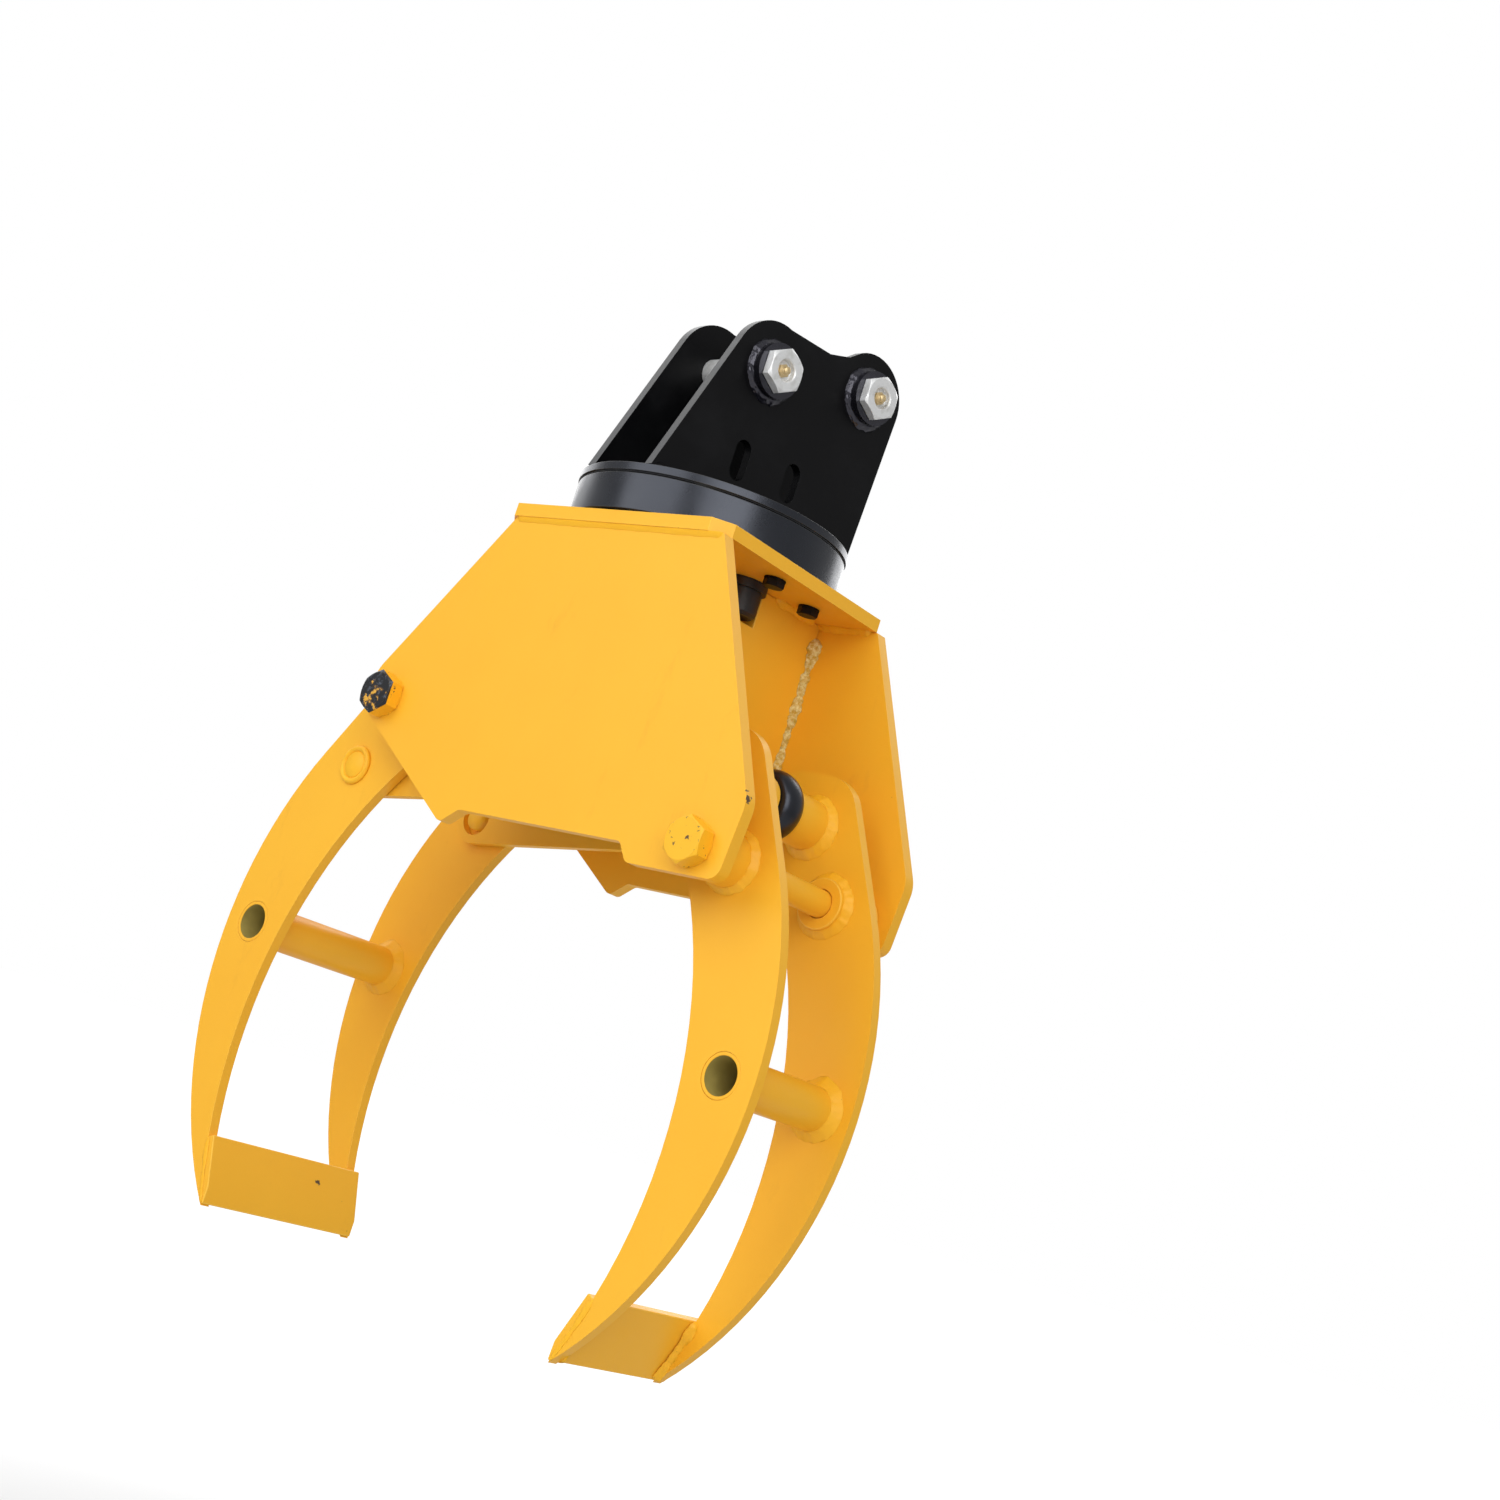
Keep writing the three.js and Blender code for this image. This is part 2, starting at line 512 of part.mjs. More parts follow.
const earReach = earMiddle + earThick / 2 + pinBossTall;
const makeHangerPin = (place) => {
  const shank = disc(pinR, -earReach - 2, earReach + 22, 32);
  const face = -earReach - GAP - pinHeadTall;
  const hexHead = hexagon(pinHexR, face, -earReach - GAP);
  return alongY(cut(join(shank, hexHead), disc(pocketR, face - 1, face + pocketDeep, 24)), place);
};
const makeHangerNut = (place) => alongY(cut(hexagon(pinHexR, earReach + GAP, earReach + 19),
  disc(pinR + GAP, earReach - 1, earReach + 20, 28)), place);
const makeNipple = (place) => {
  const seat = -earReach - 2 * GAP - pinHeadTall + pocketDeep;
  return alongY(turned([[0, seat - 8], [2.6, seat - 8], [3.4, seat - 6.6], [2.4, seat - 5], [5, seat - 3.4],
    [5, seat], [0, seat]], 16), place);
};
for (const [label, place] of [['arm', armPin], ['link', linkPin]]) {
  piece(head, `${label}_pin`, makeHangerPin(place), zinc);
  piece(head, `${label}_pin_nut`, makeHangerNut(place), zinc);
  piece(head, `${label}_grease_nipple`, makeNipple(place), brass);
}

export default grapple;
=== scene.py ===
import math

import bmesh
import bpy
import numpy as np
from mathutils import Matrix, Vector


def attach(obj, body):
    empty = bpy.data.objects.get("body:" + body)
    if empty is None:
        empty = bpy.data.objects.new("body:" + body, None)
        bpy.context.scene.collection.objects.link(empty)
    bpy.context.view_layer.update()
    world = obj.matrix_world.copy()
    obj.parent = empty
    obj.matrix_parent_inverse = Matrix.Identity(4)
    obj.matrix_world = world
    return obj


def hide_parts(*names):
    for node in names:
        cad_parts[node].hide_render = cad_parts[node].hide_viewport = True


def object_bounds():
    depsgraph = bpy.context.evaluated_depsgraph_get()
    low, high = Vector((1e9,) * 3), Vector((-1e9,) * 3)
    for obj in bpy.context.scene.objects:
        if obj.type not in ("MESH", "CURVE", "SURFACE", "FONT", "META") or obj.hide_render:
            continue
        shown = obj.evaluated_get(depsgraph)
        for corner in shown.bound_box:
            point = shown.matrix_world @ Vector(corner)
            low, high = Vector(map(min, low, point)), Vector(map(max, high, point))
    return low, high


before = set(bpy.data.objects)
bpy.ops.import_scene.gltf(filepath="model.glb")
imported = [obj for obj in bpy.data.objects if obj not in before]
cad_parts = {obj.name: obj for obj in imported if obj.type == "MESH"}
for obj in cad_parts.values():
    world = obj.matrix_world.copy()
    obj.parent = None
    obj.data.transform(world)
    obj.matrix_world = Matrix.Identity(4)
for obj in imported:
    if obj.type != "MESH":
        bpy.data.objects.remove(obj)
cad_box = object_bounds()

# ---------------------------------------------------------------------------
# Studio. The grapple hangs in the air over a pale floor, under a white sky and
# four broad soft lamps. The camera stands low and looks slightly up.
# ---------------------------------------------------------------------------
MM = 0.001
scene = bpy.context.scene


def linear(code):
    """Linear colour of an sRGB hex code: each part below 0.04045 over 12.92, otherwise a 2.4 power."""
    parts = [int(code[i:i + 2], 16) / 255 for i in (1, 3, 5)]
    return [c / 12.92 if c <= 0.04045 else ((c + 0.055) / 1.055) ** 2.4 for c in parts] + [1.0]


def add(tree, kind, inputs=None, **settings):
    """Adds one shader node, sets its fields, and fills or links its inputs."""
    made = tree.nodes.new(kind)
    for key, value in settings.items():
        setattr(made, key, value)
    for key, value in (inputs or {}).items():
        if isinstance(value, bpy.types.NodeSocket):
            tree.links.new(value, made.inputs[key])
        else:
            made.inputs[key].default_value = value
    return made


def new_material(name):
    """An empty node material with its output, and the Object coordinates that patterns read."""
    material = bpy.data.materials.new(name)
    material.use_nodes = True
    tree = material.node_tree
    tree.nodes.clear()
    place = add(tree, "ShaderNodeTexCoord").outputs["Object"]
    return material, tree, place


def finish_material(material, tree, shader):
    add(tree, "ShaderNodeOutputMaterial", {"Surface": shader.outputs[0]})
    return material


def floor_paint_painted_glow():
    """Pale matt floor paint, faintly cloudy, with a painted glow seen only by the camera: dim near the
    grapple, a painted shadow under it, and rising away from it to the white of the sky.
    """
    material, tree, place = new_material("floor_paint_painted_glow")
    cloud = add(tree, "ShaderNodeTexNoise", {"Vector": place, "Scale": 0.7, "Detail": 2.0})
    tone = add(tree, "ShaderNodeMix", {0: cloud.outputs["Fac"], 6: linear("#c2c2c2"), 7: linear("#c9c9c9")},
               data_type="RGBA")
    # Painted light: the glow rises with distance from the grapple, so the floor under it stays darker as a
    # painted shadow.
    away = add(tree, "ShaderNodeVectorMath", {0: place}, operation="LENGTH")
    lit = add(tree, "ShaderNodeMapRange", {"Value": away.outputs["Value"], 1: 0.6, 2: 2.8, 3: 0.15, 4: 0.85},
              interpolation_type="SMOOTHSTEP")
    # Only the eye sees this painted glow: it throws no light up at the grapple.
    direct = add(tree, "ShaderNodeLightPath").outputs["Is Camera Ray"]
    glow = add(tree, "ShaderNodeMath", {0: lit.outputs[0], 1: direct}, operation="MULTIPLY")
    shader = add(tree, "ShaderNodeBsdfPrincipled", {
        "Base Color": tone.outputs[2], "Roughness": 0.9, "Emission Strength": glow.outputs[0]})
    shader.inputs["Emission Color"].default_value = (1, 1, 1, 1)
    return finish_material(material, tree, shader)


FLOOR_Z = cad_box[0][2] - 0.45
bpy.ops.mesh.primitive_plane_add(size=160, location=(0, 0, FLOOR_Z))
floor = bpy.context.object
floor.name = "floor"
floor.data.materials.append(floor_paint_painted_glow())

# The sky lights softly, and looks white itself, as a lit studio backdrop does.
SKY_LIGHT, SKY_SEEN = 0.42, 1.0
scene.world = bpy.data.worlds.new("pale_sky")
scene.world.use_nodes = True
sky = scene.world.node_tree
seen = add(sky, "ShaderNodeLightPath").outputs["Is Camera Ray"]
glow = add(sky, "ShaderNodeMapRange", {"Value": seen, 3: SKY_LIGHT, 4: SKY_SEEN})
sky.links.new(glow.outputs[0], sky.nodes["Background"].inputs["Strength"])
sky.nodes["Background"].inputs["Color"].default_value = (1, 1, 1, 1)
scene.view_settings.view_transform = "Standard"

for lamp_name, place, aim, wide, watts in (
        ("key_lamp", (-0.7, -3.4, 1.3), (0, 0, -0.4), 3.6, 77),
        ("side_lamp", (2.6, -2.2, 0.8), (0, 0, -0.4), 2.6, 58),
        ("back_lamp", (-0.8, 2.8, 1.8), (0, 0, -0.3), 2.6, 62),
        ("left_lamp", (-2.5, 0.5, 1.6), (0, 0, -0.2), 2.4, 34)):
    lamp = bpy.data.lights.new(lamp_name, "AREA")
    lamp.size = wide
    lamp.energy = watts
    holder = bpy.data.objects.new(lamp_name, lamp)
    scene.collection.objects.link(holder)
    holder.location = place
    holder.rotation_euler = (Vector(aim) - Vector(place)).to_track_quat("-Z", "Y").to_euler()

lens = bpy.data.cameras.new("camera")
lens.sensor_width = 36
lens.lens = 56.4
lens.shift_x = -0.0497
lens.shift_y = 0.0027
camera = bpy.data.objects.new("camera", lens)
scene.collection.objects.link(camera)
camera_right = Vector((0.7714, 0.5669, 0.2890))
camera_up = Vector((-0.1171, -0.3200, 0.9401))
camera_back = camera_right.cross(camera_up)
camera.matrix_world = Matrix.Translation((1.4045, -1.5661, -0.7092)) @ Matrix(
    (camera_right, camera_up, camera_back)).transposed().to_4x4()
scene.camera = camera

# ---------------------------------------------------------------------------
# Hanger ears. Two laser-cut 9 mm steel plates with turned bosses welded on,
# sprayed gloss black. They are welded to the drum's cap along their feet.
# ---------------------------------------------------------------------------
HEAD_TURN = math.radians(82.4)
ARM_PIN = (93.0, 204.0)
LINK_PIN = (-24.0, 175.0)
ORIGIN = np.array([ARM_PIN[0] * math.cos(HEAD_TURN), ARM_PIN[0] * math.sin(HEAD_TURN), ARM_PIN[1]])
DRUM_TOP, EAR_MIDDLE, EAR_THICK, EAR_BOSS = 44.0, 39.0, 9.0, 11.0
EDGE_ROUND = 0.9 * MM
GAP = 0.3  # pieces that touch keep this gap, in millimetres


def black_paint(name="satin_black_paint", base="#08080a", dust="#1d1e20", rough=0.3, dusty=0.4, shine=0.18,
                coat=0.0, tint="#ffffff"):
    """Sprayed gloss black enamel: deep, slightly rippled, with a film of grey dust in patches."""
    material, tree, place = new_material(name)
    patches = add(tree, "ShaderNodeTexNoise", {
        "Vector": place, "Scale": 14.0, "Detail": 7.0, "Roughness": 0.65})
    film = add(tree, "ShaderNodeMapRange", {
        "Value": patches.outputs["Fac"], 1: 0.48, 2: 0.78, 3: 0.0, 4: dusty})
    tone = add(tree, "ShaderNodeMix", {0: film.outputs[0], 6: linear(base), 7: linear(dust)},
               data_type="RGBA")
    gloss = add(tree, "ShaderNodeMapRange", {
        "Value": patches.outputs["Fac"], 1: 0.3, 2: 0.8, 3: rough, 4: rough + 0.22})
    # Spray ripple is 2 to 3 mm across on real enamel.
    ripple = add(tree, "ShaderNodeTexNoise", {"Vector": place, "Scale": 420.0, "Detail": 2.0})
    bump = add(tree, "ShaderNodeBump", {
        "Height": ripple.outputs["Fac"], "Strength": 0.10, "Distance": 0.0004})
    shader = add(tree, "ShaderNodeBsdfPrincipled", {
        "Base Color": tone.outputs[2], "Roughness": gloss.outputs[0], "Normal": bump.outputs[0],
        "Specular IOR Level": shine, "Specular Tint": linear(tint),
        "Coat Weight": coat, "Coat Roughness": 0.08})
    return finish_material(material, tree, shader)


def bare_mesh(name, points, faces):
    mesh = bpy.data.meshes.new(name)
    mesh.from_pydata(np.asarray(points, float).tolist(), [], [list(map(int, f)) for f in faces])
    mesh.update()
    return mesh


def face_outwards(mesh, merge=1e-7):
    """Merges doubled points and turns every face outwards."""
    work = bmesh.new()
    work.from_mesh(mesh)
    bmesh.ops.remove_doubles(work, verts=work.verts, dist=merge)
    bmesh.ops.recalc_face_normals(work, faces=work.faces)
    work.to_mesh(mesh)
    work.free()


def show(name, mesh, body, materials, stands_for=()):
    """Puts a mesh in the scene as a piece that rides on a body and takes a slot's finish."""
    mesh.polygons.foreach_set("use_smooth", [True] * len(mesh.polygons))
    piece = bpy.data.objects.new(name, mesh)
    scene.collection.objects.link(piece)
    for material in materials:
        mesh.materials.append(material)
    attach(piece, body)
    if stands_for:
        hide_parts(*stands_for)
    return piece


def break_edges(piece, width, edge_slot=0, segments=2):
    """Rounds every corner sharper than 30 degrees, and can give the rounding its own material."""
    bevel = piece.modifiers.new("broken_edges", "BEVEL")
    bevel.width = width
    bevel.segments = segments
    bevel.limit_method = "ANGLE"
    bevel.angle_limit = math.radians(30)
    bevel.harden_normals = True
    bevel.material = edge_slot
    bevel.use_clamp_overlap = True
    return piece


def plate_copy(node, body, materials, width=EDGE_ROUND, segments=2):
    """The node's own solid: doubled points merged, flat faces joined, corners rounded."""
    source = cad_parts[node].data
    points = np.empty(len(source.vertices) * 3)
    source.vertices.foreach_get("co", points)
    faces = [tuple(p.vertices) for p in source.polygons]
    mesh = bare_mesh(node + "_shape", points.reshape(-1, 3), faces)
    work = bmesh.new()
    work.from_mesh(mesh)
    bmesh.ops.remove_doubles(work, verts=work.verts, dist=2e-6)
    bmesh.ops.dissolve_limit(work, angle_limit=math.radians(0.6), verts=work.verts, edges=work.edges)
    work.to_mesh(mesh)
    work.free()
    piece = show(node + "_part", mesh, body, materials, (node,))
    return break_edges(piece, width, len(materials) - 1, segments)


black = black_paint()
# Cut edges and rounded corners of the black parts are a lighter grey: rubbed paint, and a painted highlight
# where light would catch them.
black_edge_wear_and_highlight = black_paint("rubbed_black_edge_painted_highlight", "#2b2c2f", "#52524f", 0.3, 0.9, 0.5)
boss_black = black_paint("glossy_black_on_bosses", "#111116", "#26262f", 0.16, 0.6, 0.7, 0.5, "#d5d3ea")
SLOT_REACH, SLOT_TOP = 60, 125


def paint_ear_faces(piece, face_across, side):
    """Faces past the ear's outer face are its bosses.
    Upright faces of its rim, slots apart, are its cut edge, in a lighter grey: rubbed wear and a painted
    highlight."""
    c, s = math.cos(HEAD_TURN), math.sin(HEAD_TURN)
    middle = np.array([p.center[:] for p in piece.data.polygons]) / MM + ORIGIN
    normal = np.array([p.normal[:] for p in piece.data.polygons])
    across = side * (-middle[:, 0] * s + middle[:, 1] * c)
    upright = np.abs(-normal[:, 0] * s + normal[:, 1] * c) < 0.5
    along = middle[:, 0] * c + middle[:, 1] * s
    in_slot = (np.abs(along) < SLOT_REACH) & (middle[:, 2] < SLOT_TOP)
    kind = np.where(across > face_across + 0.5, 1, np.where(upright & ~in_slot, 2, 0))
    piece.data.polygons.foreach_set("material_index", kind.astype(np.int32))


for ear in ("ear_near", "ear_far"):
    ear_piece = plate_copy(ear, "head", [black, boss_black, black_edge_wear_and_highlight])
    paint_ear_faces(ear_piece, EAR_MIDDLE + EAR_THICK / 2, -1 if ear == "ear_near" else 1)


def head_point(along, across, up):
    """A point given along the ears, across them and up, in the turned head, as row metres."""
    c, s = math.cos(HEAD_TURN), math.sin(HEAD_TURN)
    turned = np.array([along * c - across * s, along * s + across * c, up])
    return (turned - ORIGIN) * MM


def head_way(along, across, up):
    """A direction in the turned head."""
    c, s = math.cos(HEAD_TURN), math.sin(HEAD_TURN)
    return np.array([along * c - across * s, along * s + across * c, up])


def weld_bead(name, path, side_a, side_b, size_a, size_b, body, material, sweep=math.pi / 2,
              crown=1.6, closed=False, seed=1, rough=0.12):
    """A weld bead along a path. The section is size_a times cos t along side_a plus size_b times sin t along
    side_b, each raised to the crown power, with t from 0 to the sweep: crown 1 is round, 2 flat, 3 hollow.
    Both sizes wander by the roughness from ripple to ripple, 3 mm apart, and an open bead's ends taper."""
    path = np.asarray(path, float)
    run = np.concatenate([[0], np.cumsum(np.linalg.norm(np.diff(path, axis=0), axis=1))])
    count = max(24, int(run[-1] / (1.0 * MM)))
    even = np.linspace(0, run[-1], count, endpoint=not closed)

    def resample(values):
        values = np.broadcast_to(np.asarray(values, float), path.shape)
        return np.stack([np.interp(even, run, values[:, i]) for i in range(3)], axis=1)

    rng = np.random.default_rng(seed)

    def wander(spacing, columns=1):
        knots = max(6, int(run[-1] / (spacing * MM)))
        heights = rng.uniform(-1, 1, (knots, columns))
        heights[-1] = heights[0]
        marks = np.linspace(0, run[-1], knots)
        return np.stack([np.interp(even, marks, heights[:, i]) for i in range(columns)], axis=1)

    centre, a, b = resample(path), resample(side_a), resample(side_b)
    t = np.linspace(0, sweep, 11)
    along_a = np.sign(np.cos(t)) * np.abs(np.cos(t)) ** crown * size_a * MM
    along_b = np.sin(t) ** crown * size_b * MM
    swell = 1 + rough * (0.8 * wander(3.0) + 1.6 * wander(12.0) + 0.6 * wander(2.2, len(t)))
    if not closed:
        swell *= np.clip(np.minimum(even, run[-1] - even) / (4 * MM), 0.02, 1)[:, None] ** 0.5
    ring = a[:, None] * (along_a * swell)[..., None] + b[:, None] * (along_b * swell)[..., None]
    root = -0.25 * MM * (b if sweep > 2 else a + b)
    points = np.concatenate([centre[:, None] + ring, (centre + root)[:, None]], axis=1)
    rows, columns = points.shape[:2]
    index = np.arange(rows * columns).reshape(rows, columns)
    ahead = np.roll(index, -1, axis=0) if closed else index[1:]
    here = index if closed else index[:-1]
    quads = np.stack([here, ahead, np.roll(ahead, -1, axis=1), np.roll(here, -1, axis=1)], axis=-1)
    faces = [tuple(q) for q in quads.reshape(-1, 4)]
    if not closed:
        faces += [tuple(index[0]), tuple(index[-1][::-1])]
    mesh = bare_mesh(name + "_shape", points.reshape(-1, 3), faces)
    face_outwards(mesh)
    return show(name, mesh, body, [material])


def circle(centre, across_a, across_b, radius, count=72):
    """Points round a circle, and the outward way at each: the centre plus the radius times
    the first way's cosine part and the second way's sine part."""
    angle = np.linspace(0, 2 * math.pi, count + 1)
    out = np.cos(angle)[:, None] * np.asarray(across_a) + np.sin(angle)[:, None] * np.asarray(across_b)
    return np.asarray(centre) + out * radius * MM, out


up = np.array([0.0, 0.0, 1.0])
for ear, sign in (("near", -1), ("far", 1)):
    for face in (-1, 1):
        across = sign * EAR_MIDDLE + face * EAR_THICK / 2
        ends = [head_point(-114, across, DRUM_TOP), head_point(119, across, DRUM_TOP)]
        side = "outer" if face == sign else "inner"
        weld_bead(f"ear_{ear}_foot_weld_{side}", ends, head_way(0, face, 0), up, 5, 5, "head",
                  black, seed=10 + sign + 3 * face)
    for pin, (along, height) in (("arm", ARM_PIN), ("link", LINK_PIN)):
        across = sign * (EAR_MIDDLE + EAR_THICK / 2)
        ring_path, outward = circle(head_point(along, across, height), head_way(1, 0, 0), up, 25)
        weld_bead(f"{pin}_boss_weld_{ear}", ring_path, outward, head_way(0, sign, 0), 5, 5, "head",
                  boss_black, closed=True, seed=20 + sign, rough=0.14)

# ---------------------------------------------------------------------------
# Drum. A flame-cut 8 mm cap and a rolled skirt hide the slewing ring from dirt.
# Both are gloss black; a narrow dark groove shows where they meet.
# ---------------------------------------------------------------------------
DRUM_R, CAP_THICK, SKIRT_FOOT, SKIRT_INSIDE = 125.0, 8.0, 2.0, 119.0
GROOVE_DEEP, GROOVE_TALL = 2.2, 0.9
NO_FLATS = 1e9


def spun(name, profile, place, ways, body, materials, stands_for=(), sides=96, loop=False,
         round_off=0.5):
    """A turned or hexagonal piece. Each profile row is (radius, height) or (radius, height, across flats);
    at each angle the radius is the smaller of the row's own and half the flats over the cosine of the angle
    from the middle of the nearest flat. Height runs along the third way, from the place."""
    rows = np.array([(r, h, f[0] if f else NO_FLATS) for r, h, *f in profile], float)
    angle = np.arange(sides) * 2 * math.pi / sides
    off_flat = (angle + math.pi / 6) % (math.pi / 3) - math.pi / 6
    radius = np.minimum(rows[:, :1], rows[:, 2:] / 2 / np.cos(off_flat)[None, :])
    x, y, z = (np.asarray(w, float) for w in ways)
    spread = (radius * np.cos(angle))[..., None] * x + (radius * np.sin(angle))[..., None] * y
    points = np.asarray(place) + (spread + rows[:, 1][:, None, None] * z) * MM
    count = len(rows)
    index = np.arange(count * sides).reshape(count, sides)
    ahead = np.roll(index, -1, axis=0) if loop else index[1:]
    here = index if loop else index[:-1]
    quads = np.stack([here, np.roll(here, -1, axis=1), np.roll(ahead, -1, axis=1), ahead], axis=-1)
    mesh = bare_mesh(name + "_shape", points.reshape(-1, 3), quads.reshape(-1, 4))
    face_outwards(mesh)
    piece = show(name, mesh, body, materials, stands_for)
    if round_off:
        break_edges(piece, round_off * MM, len(materials) - 1)
    return piece


drum_black = black_paint("gloss_black_drum", "#0b0c10", "#181a20", 0.18, 0.5, 1.0, 0.0, "#c9cfde")
WORLD_WAYS = (np.array([1.0, 0, 0]), np.array([0, 1.0, 0]), np.array([0, 0, 1.0]))
slew_axis = -ORIGIN * MM
cap_foot = DRUM_TOP - CAP_THICK
# The cap's and skirt's rounded edges take the lighter edge grey, a painted highlight.
spun("drum_cap_part", [(0, cap_foot), (DRUM_R - GROOVE_DEEP, cap_foot),
                       (DRUM_R - GROOVE_DEEP, cap_foot + GROOVE_TALL), (DRUM_R, cap_foot + GROOVE_TALL),
                       (DRUM_R, DRUM_TOP), (0, DRUM_TOP)],
     slew_axis, WORLD_WAYS, "head", [drum_black, black_edge_wear_and_highlight], ("drum_cap",), sides=180,
     round_off=0.8)
skirt_top = cap_foot - GAP
spun("drum_skirt_part", [(SKIRT_INSIDE, SKIRT_FOOT), (DRUM_R - 0.8, SKIRT_FOOT),
                         (DRUM_R - 0.8, skirt_top - 1), (DRUM_R - 2.4, skirt_top), (SKIRT_INSIDE, skirt_top)],
     slew_axis, WORLD_WAYS, "head", [drum_black, black_edge_wear_and_highlight], ("drum_skirt",), sides=180,
     loop=True)

# ---------------------------------------------------------------------------
# Hanger pins. Turned steel pins with hexagon heads, zinc plated bright. A brass
# grease nipple sits in each head's counterbore, and a nut locks the far end.
# ---------------------------------------------------------------------------
PIN_FLATS, PIN_HEAD, PIN_R, PIN_NUT = 37.2, 9.0, 14.0, 18.7
POCKET_R, POCKET_DEEP = 9.5, 6
PIN_REACH = EAR_MIDDLE + EAR_THICK / 2 + EAR_BOSS


def plated_steel(name="bright_zinc_plate", base="#eceded", stain="#b9b8b3", rough=0.34):
    """Bright zinc plate: pale grey and half metallic, with faint cloudy staining and fine turning lines."""
    material, tree, place = new_material(name)
    clouds = add(tree, "ShaderNodeTexNoise", {"Vector": place, "Scale": 90.0, "Detail": 6.0})
    mask = add(tree, "ShaderNodeMapRange", {"Value": clouds.outputs["Fac"], 1: 0.5, 2: 0.75, 3: 0.0, 4: 0.7})
    tone = add(tree, "ShaderNodeMix", {0: mask.outputs[0], 6: linear(base), 7: linear(stain)},
               data_type="RGBA")
    gloss = add(tree, "ShaderNodeMapRange", {
        "Value": clouds.outputs["Fac"], 1: 0.3, 2: 0.8, 3: rough, 4: rough + 0.2})
    # Turning lines are a few tenths of a millimetre apart; they are drawn at about 1 mm so that they show.
    lines = add(tree, "ShaderNodeTexNoise", {"Vector": place, "Scale": 900.0, "Detail": 3.0})
    bump = add(tree, "ShaderNodeBump", {"Height": lines.outputs["Fac"], "Strength": 0.18, "Distance": 0.0002})
    shader = add(tree, "ShaderNodeBsdfPrincipled", {
        "Base Color": tone.outputs[2], "Metallic": 0.45, "Roughness": gloss.outputs[0],
        "Normal": bump.outputs[0]})
    return finish_material(material, tree, shader)


def plain_metal(name, base, rough, marks=0.15, scale=600.0):
    """Plain worked metal: one colour, its gloss broken up by fine tool marks."""
    material, tree, place = new_material(name)
    grain = add(tree, "ShaderNodeTexNoise", {"Vector": place, "Scale": scale, "Detail": 4.0})
    gloss = add(tree, "ShaderNodeMapRange", {
        "Value": grain.outputs["Fac"], 1: 0.3, 2: 0.7, 3: rough, 4: rough + 0.12})
    bump = add(tree, "ShaderNodeBump", {
        "Height": grain.outputs["Fac"], "Strength": marks, "Distance": 0.0002})
    shader = add(tree, "ShaderNodeBsdfPrincipled", {
        "Base Color": linear(base), "Metallic": 1.0, "Roughness": gloss.outputs[0],
        "Normal": bump.outputs[0]})
    return finish_material(material, tree, shader)


def chamfered_hexagon(flats, low, high):
    """Profile rows of a hexagon from low to high whose top corners are turned off at 30 degrees."""
    crown = 0.97 * flats / 2
    corner = flats / 2 / math.cos(math.pi / 6)
    drop = (corner - crown) * math.tan(math.radians(30))
    fall = [(crown + (corner - crown) * t, high - drop * t, flats) for t in (0.0, 0.2, 0.4, 0.6, 0.8, 1.0)]
    return [(corner, low, flats)] + fall[::-1]


def thread(radius, low, high, pitch=3.0, depth=1.1):
    """Profile rows of a thread.
    The radius falls and rises by its depth once each pitch, as half a cosine."""
    heights = np.arange(low, high, pitch / 6)
    return [(radius - depth * (0.5 - 0.5 * math.cos(2 * math.pi * h / pitch)), h) for h in heights]


zinc = plated_steel()
brass = plain_metal("turned_brass", "#ead2a2", 0.45)
pin_ways = (head_way(1, 0, 0), up, head_way(0, -1, 0))
for pin, (along, height) in (("arm", ARM_PIN), ("link", LINK_PIN)):
    seat = head_point(along, -PIN_REACH - GAP, height)
    head_rows = chamfered_hexagon(PIN_FLATS, 0, PIN_HEAD)
    bore = [(POCKET_R + 1.3, PIN_HEAD), (POCKET_R, PIN_HEAD - 1.3), (POCKET_R, PIN_HEAD - POCKET_DEEP),
            (0, PIN_HEAD - POCKET_DEEP)]
    tail = [(0, -2 * PIN_REACH - 22), (PIN_R - 1.5, -2 * PIN_REACH - 22)]
    tail += thread(PIN_R - 0.2, -2 * PIN_REACH - 20, -2 * PIN_REACH - 2)
    spun(f"{pin}_pin_part", tail + [(PIN_R, -2 * PIN_REACH), (PIN_R, 0)] + head_rows + bore, seat, pin_ways,
         "head", [zinc], (f"{pin}_pin",), round_off=0.35)
    nut_seat = head_point(along, PIN_REACH + GAP, height)
    nut_ways = (head_way(1, 0, 0), -up, head_way(0, 1, 0))
    nut_rows = [(PIN_R + GAP, 0)] + chamfered_hexagon(PIN_FLATS, 0, PIN_NUT)
    nut_rows += [(PIN_R + 1.8, PIN_NUT), (PIN_R + GAP, PIN_NUT - 1.3)]
    spun(f"{pin}_pin_nut_part", nut_rows, nut_seat, nut_ways, "head", [zinc],
         (f"{pin}_pin_nut",), loop=True, round_off=0.35)
    nipple_seat = head_point(along, -PIN_REACH - PIN_HEAD + 5.6, height)
    nipple = [(0, 0), (6.4, 0, 11), (6.4, 2.6, 11), (3.8, 3.0), (3.2, 4.2), (2.6, 4.9), (3.5, 6.0), (3.5, 6.8),
              (2.2, 7.8), (0.8, 8.0), (0, 7.6)]
    spun(f"{pin}_grease_nipple_part", nipple, nipple_seat, pin_ways, "head", [brass],
         (f"{pin}_grease_nipple",), sides=48, round_off=0.2)

# ---------------------------------------------------------------------------
# Slewing ring, motor and oil swivel. Cut steel gears run in grease inside the
# drum; the cast motor hangs under the top plate and turns the pinion.
# ---------------------------------------------------------------------------
PLATE = 12.0


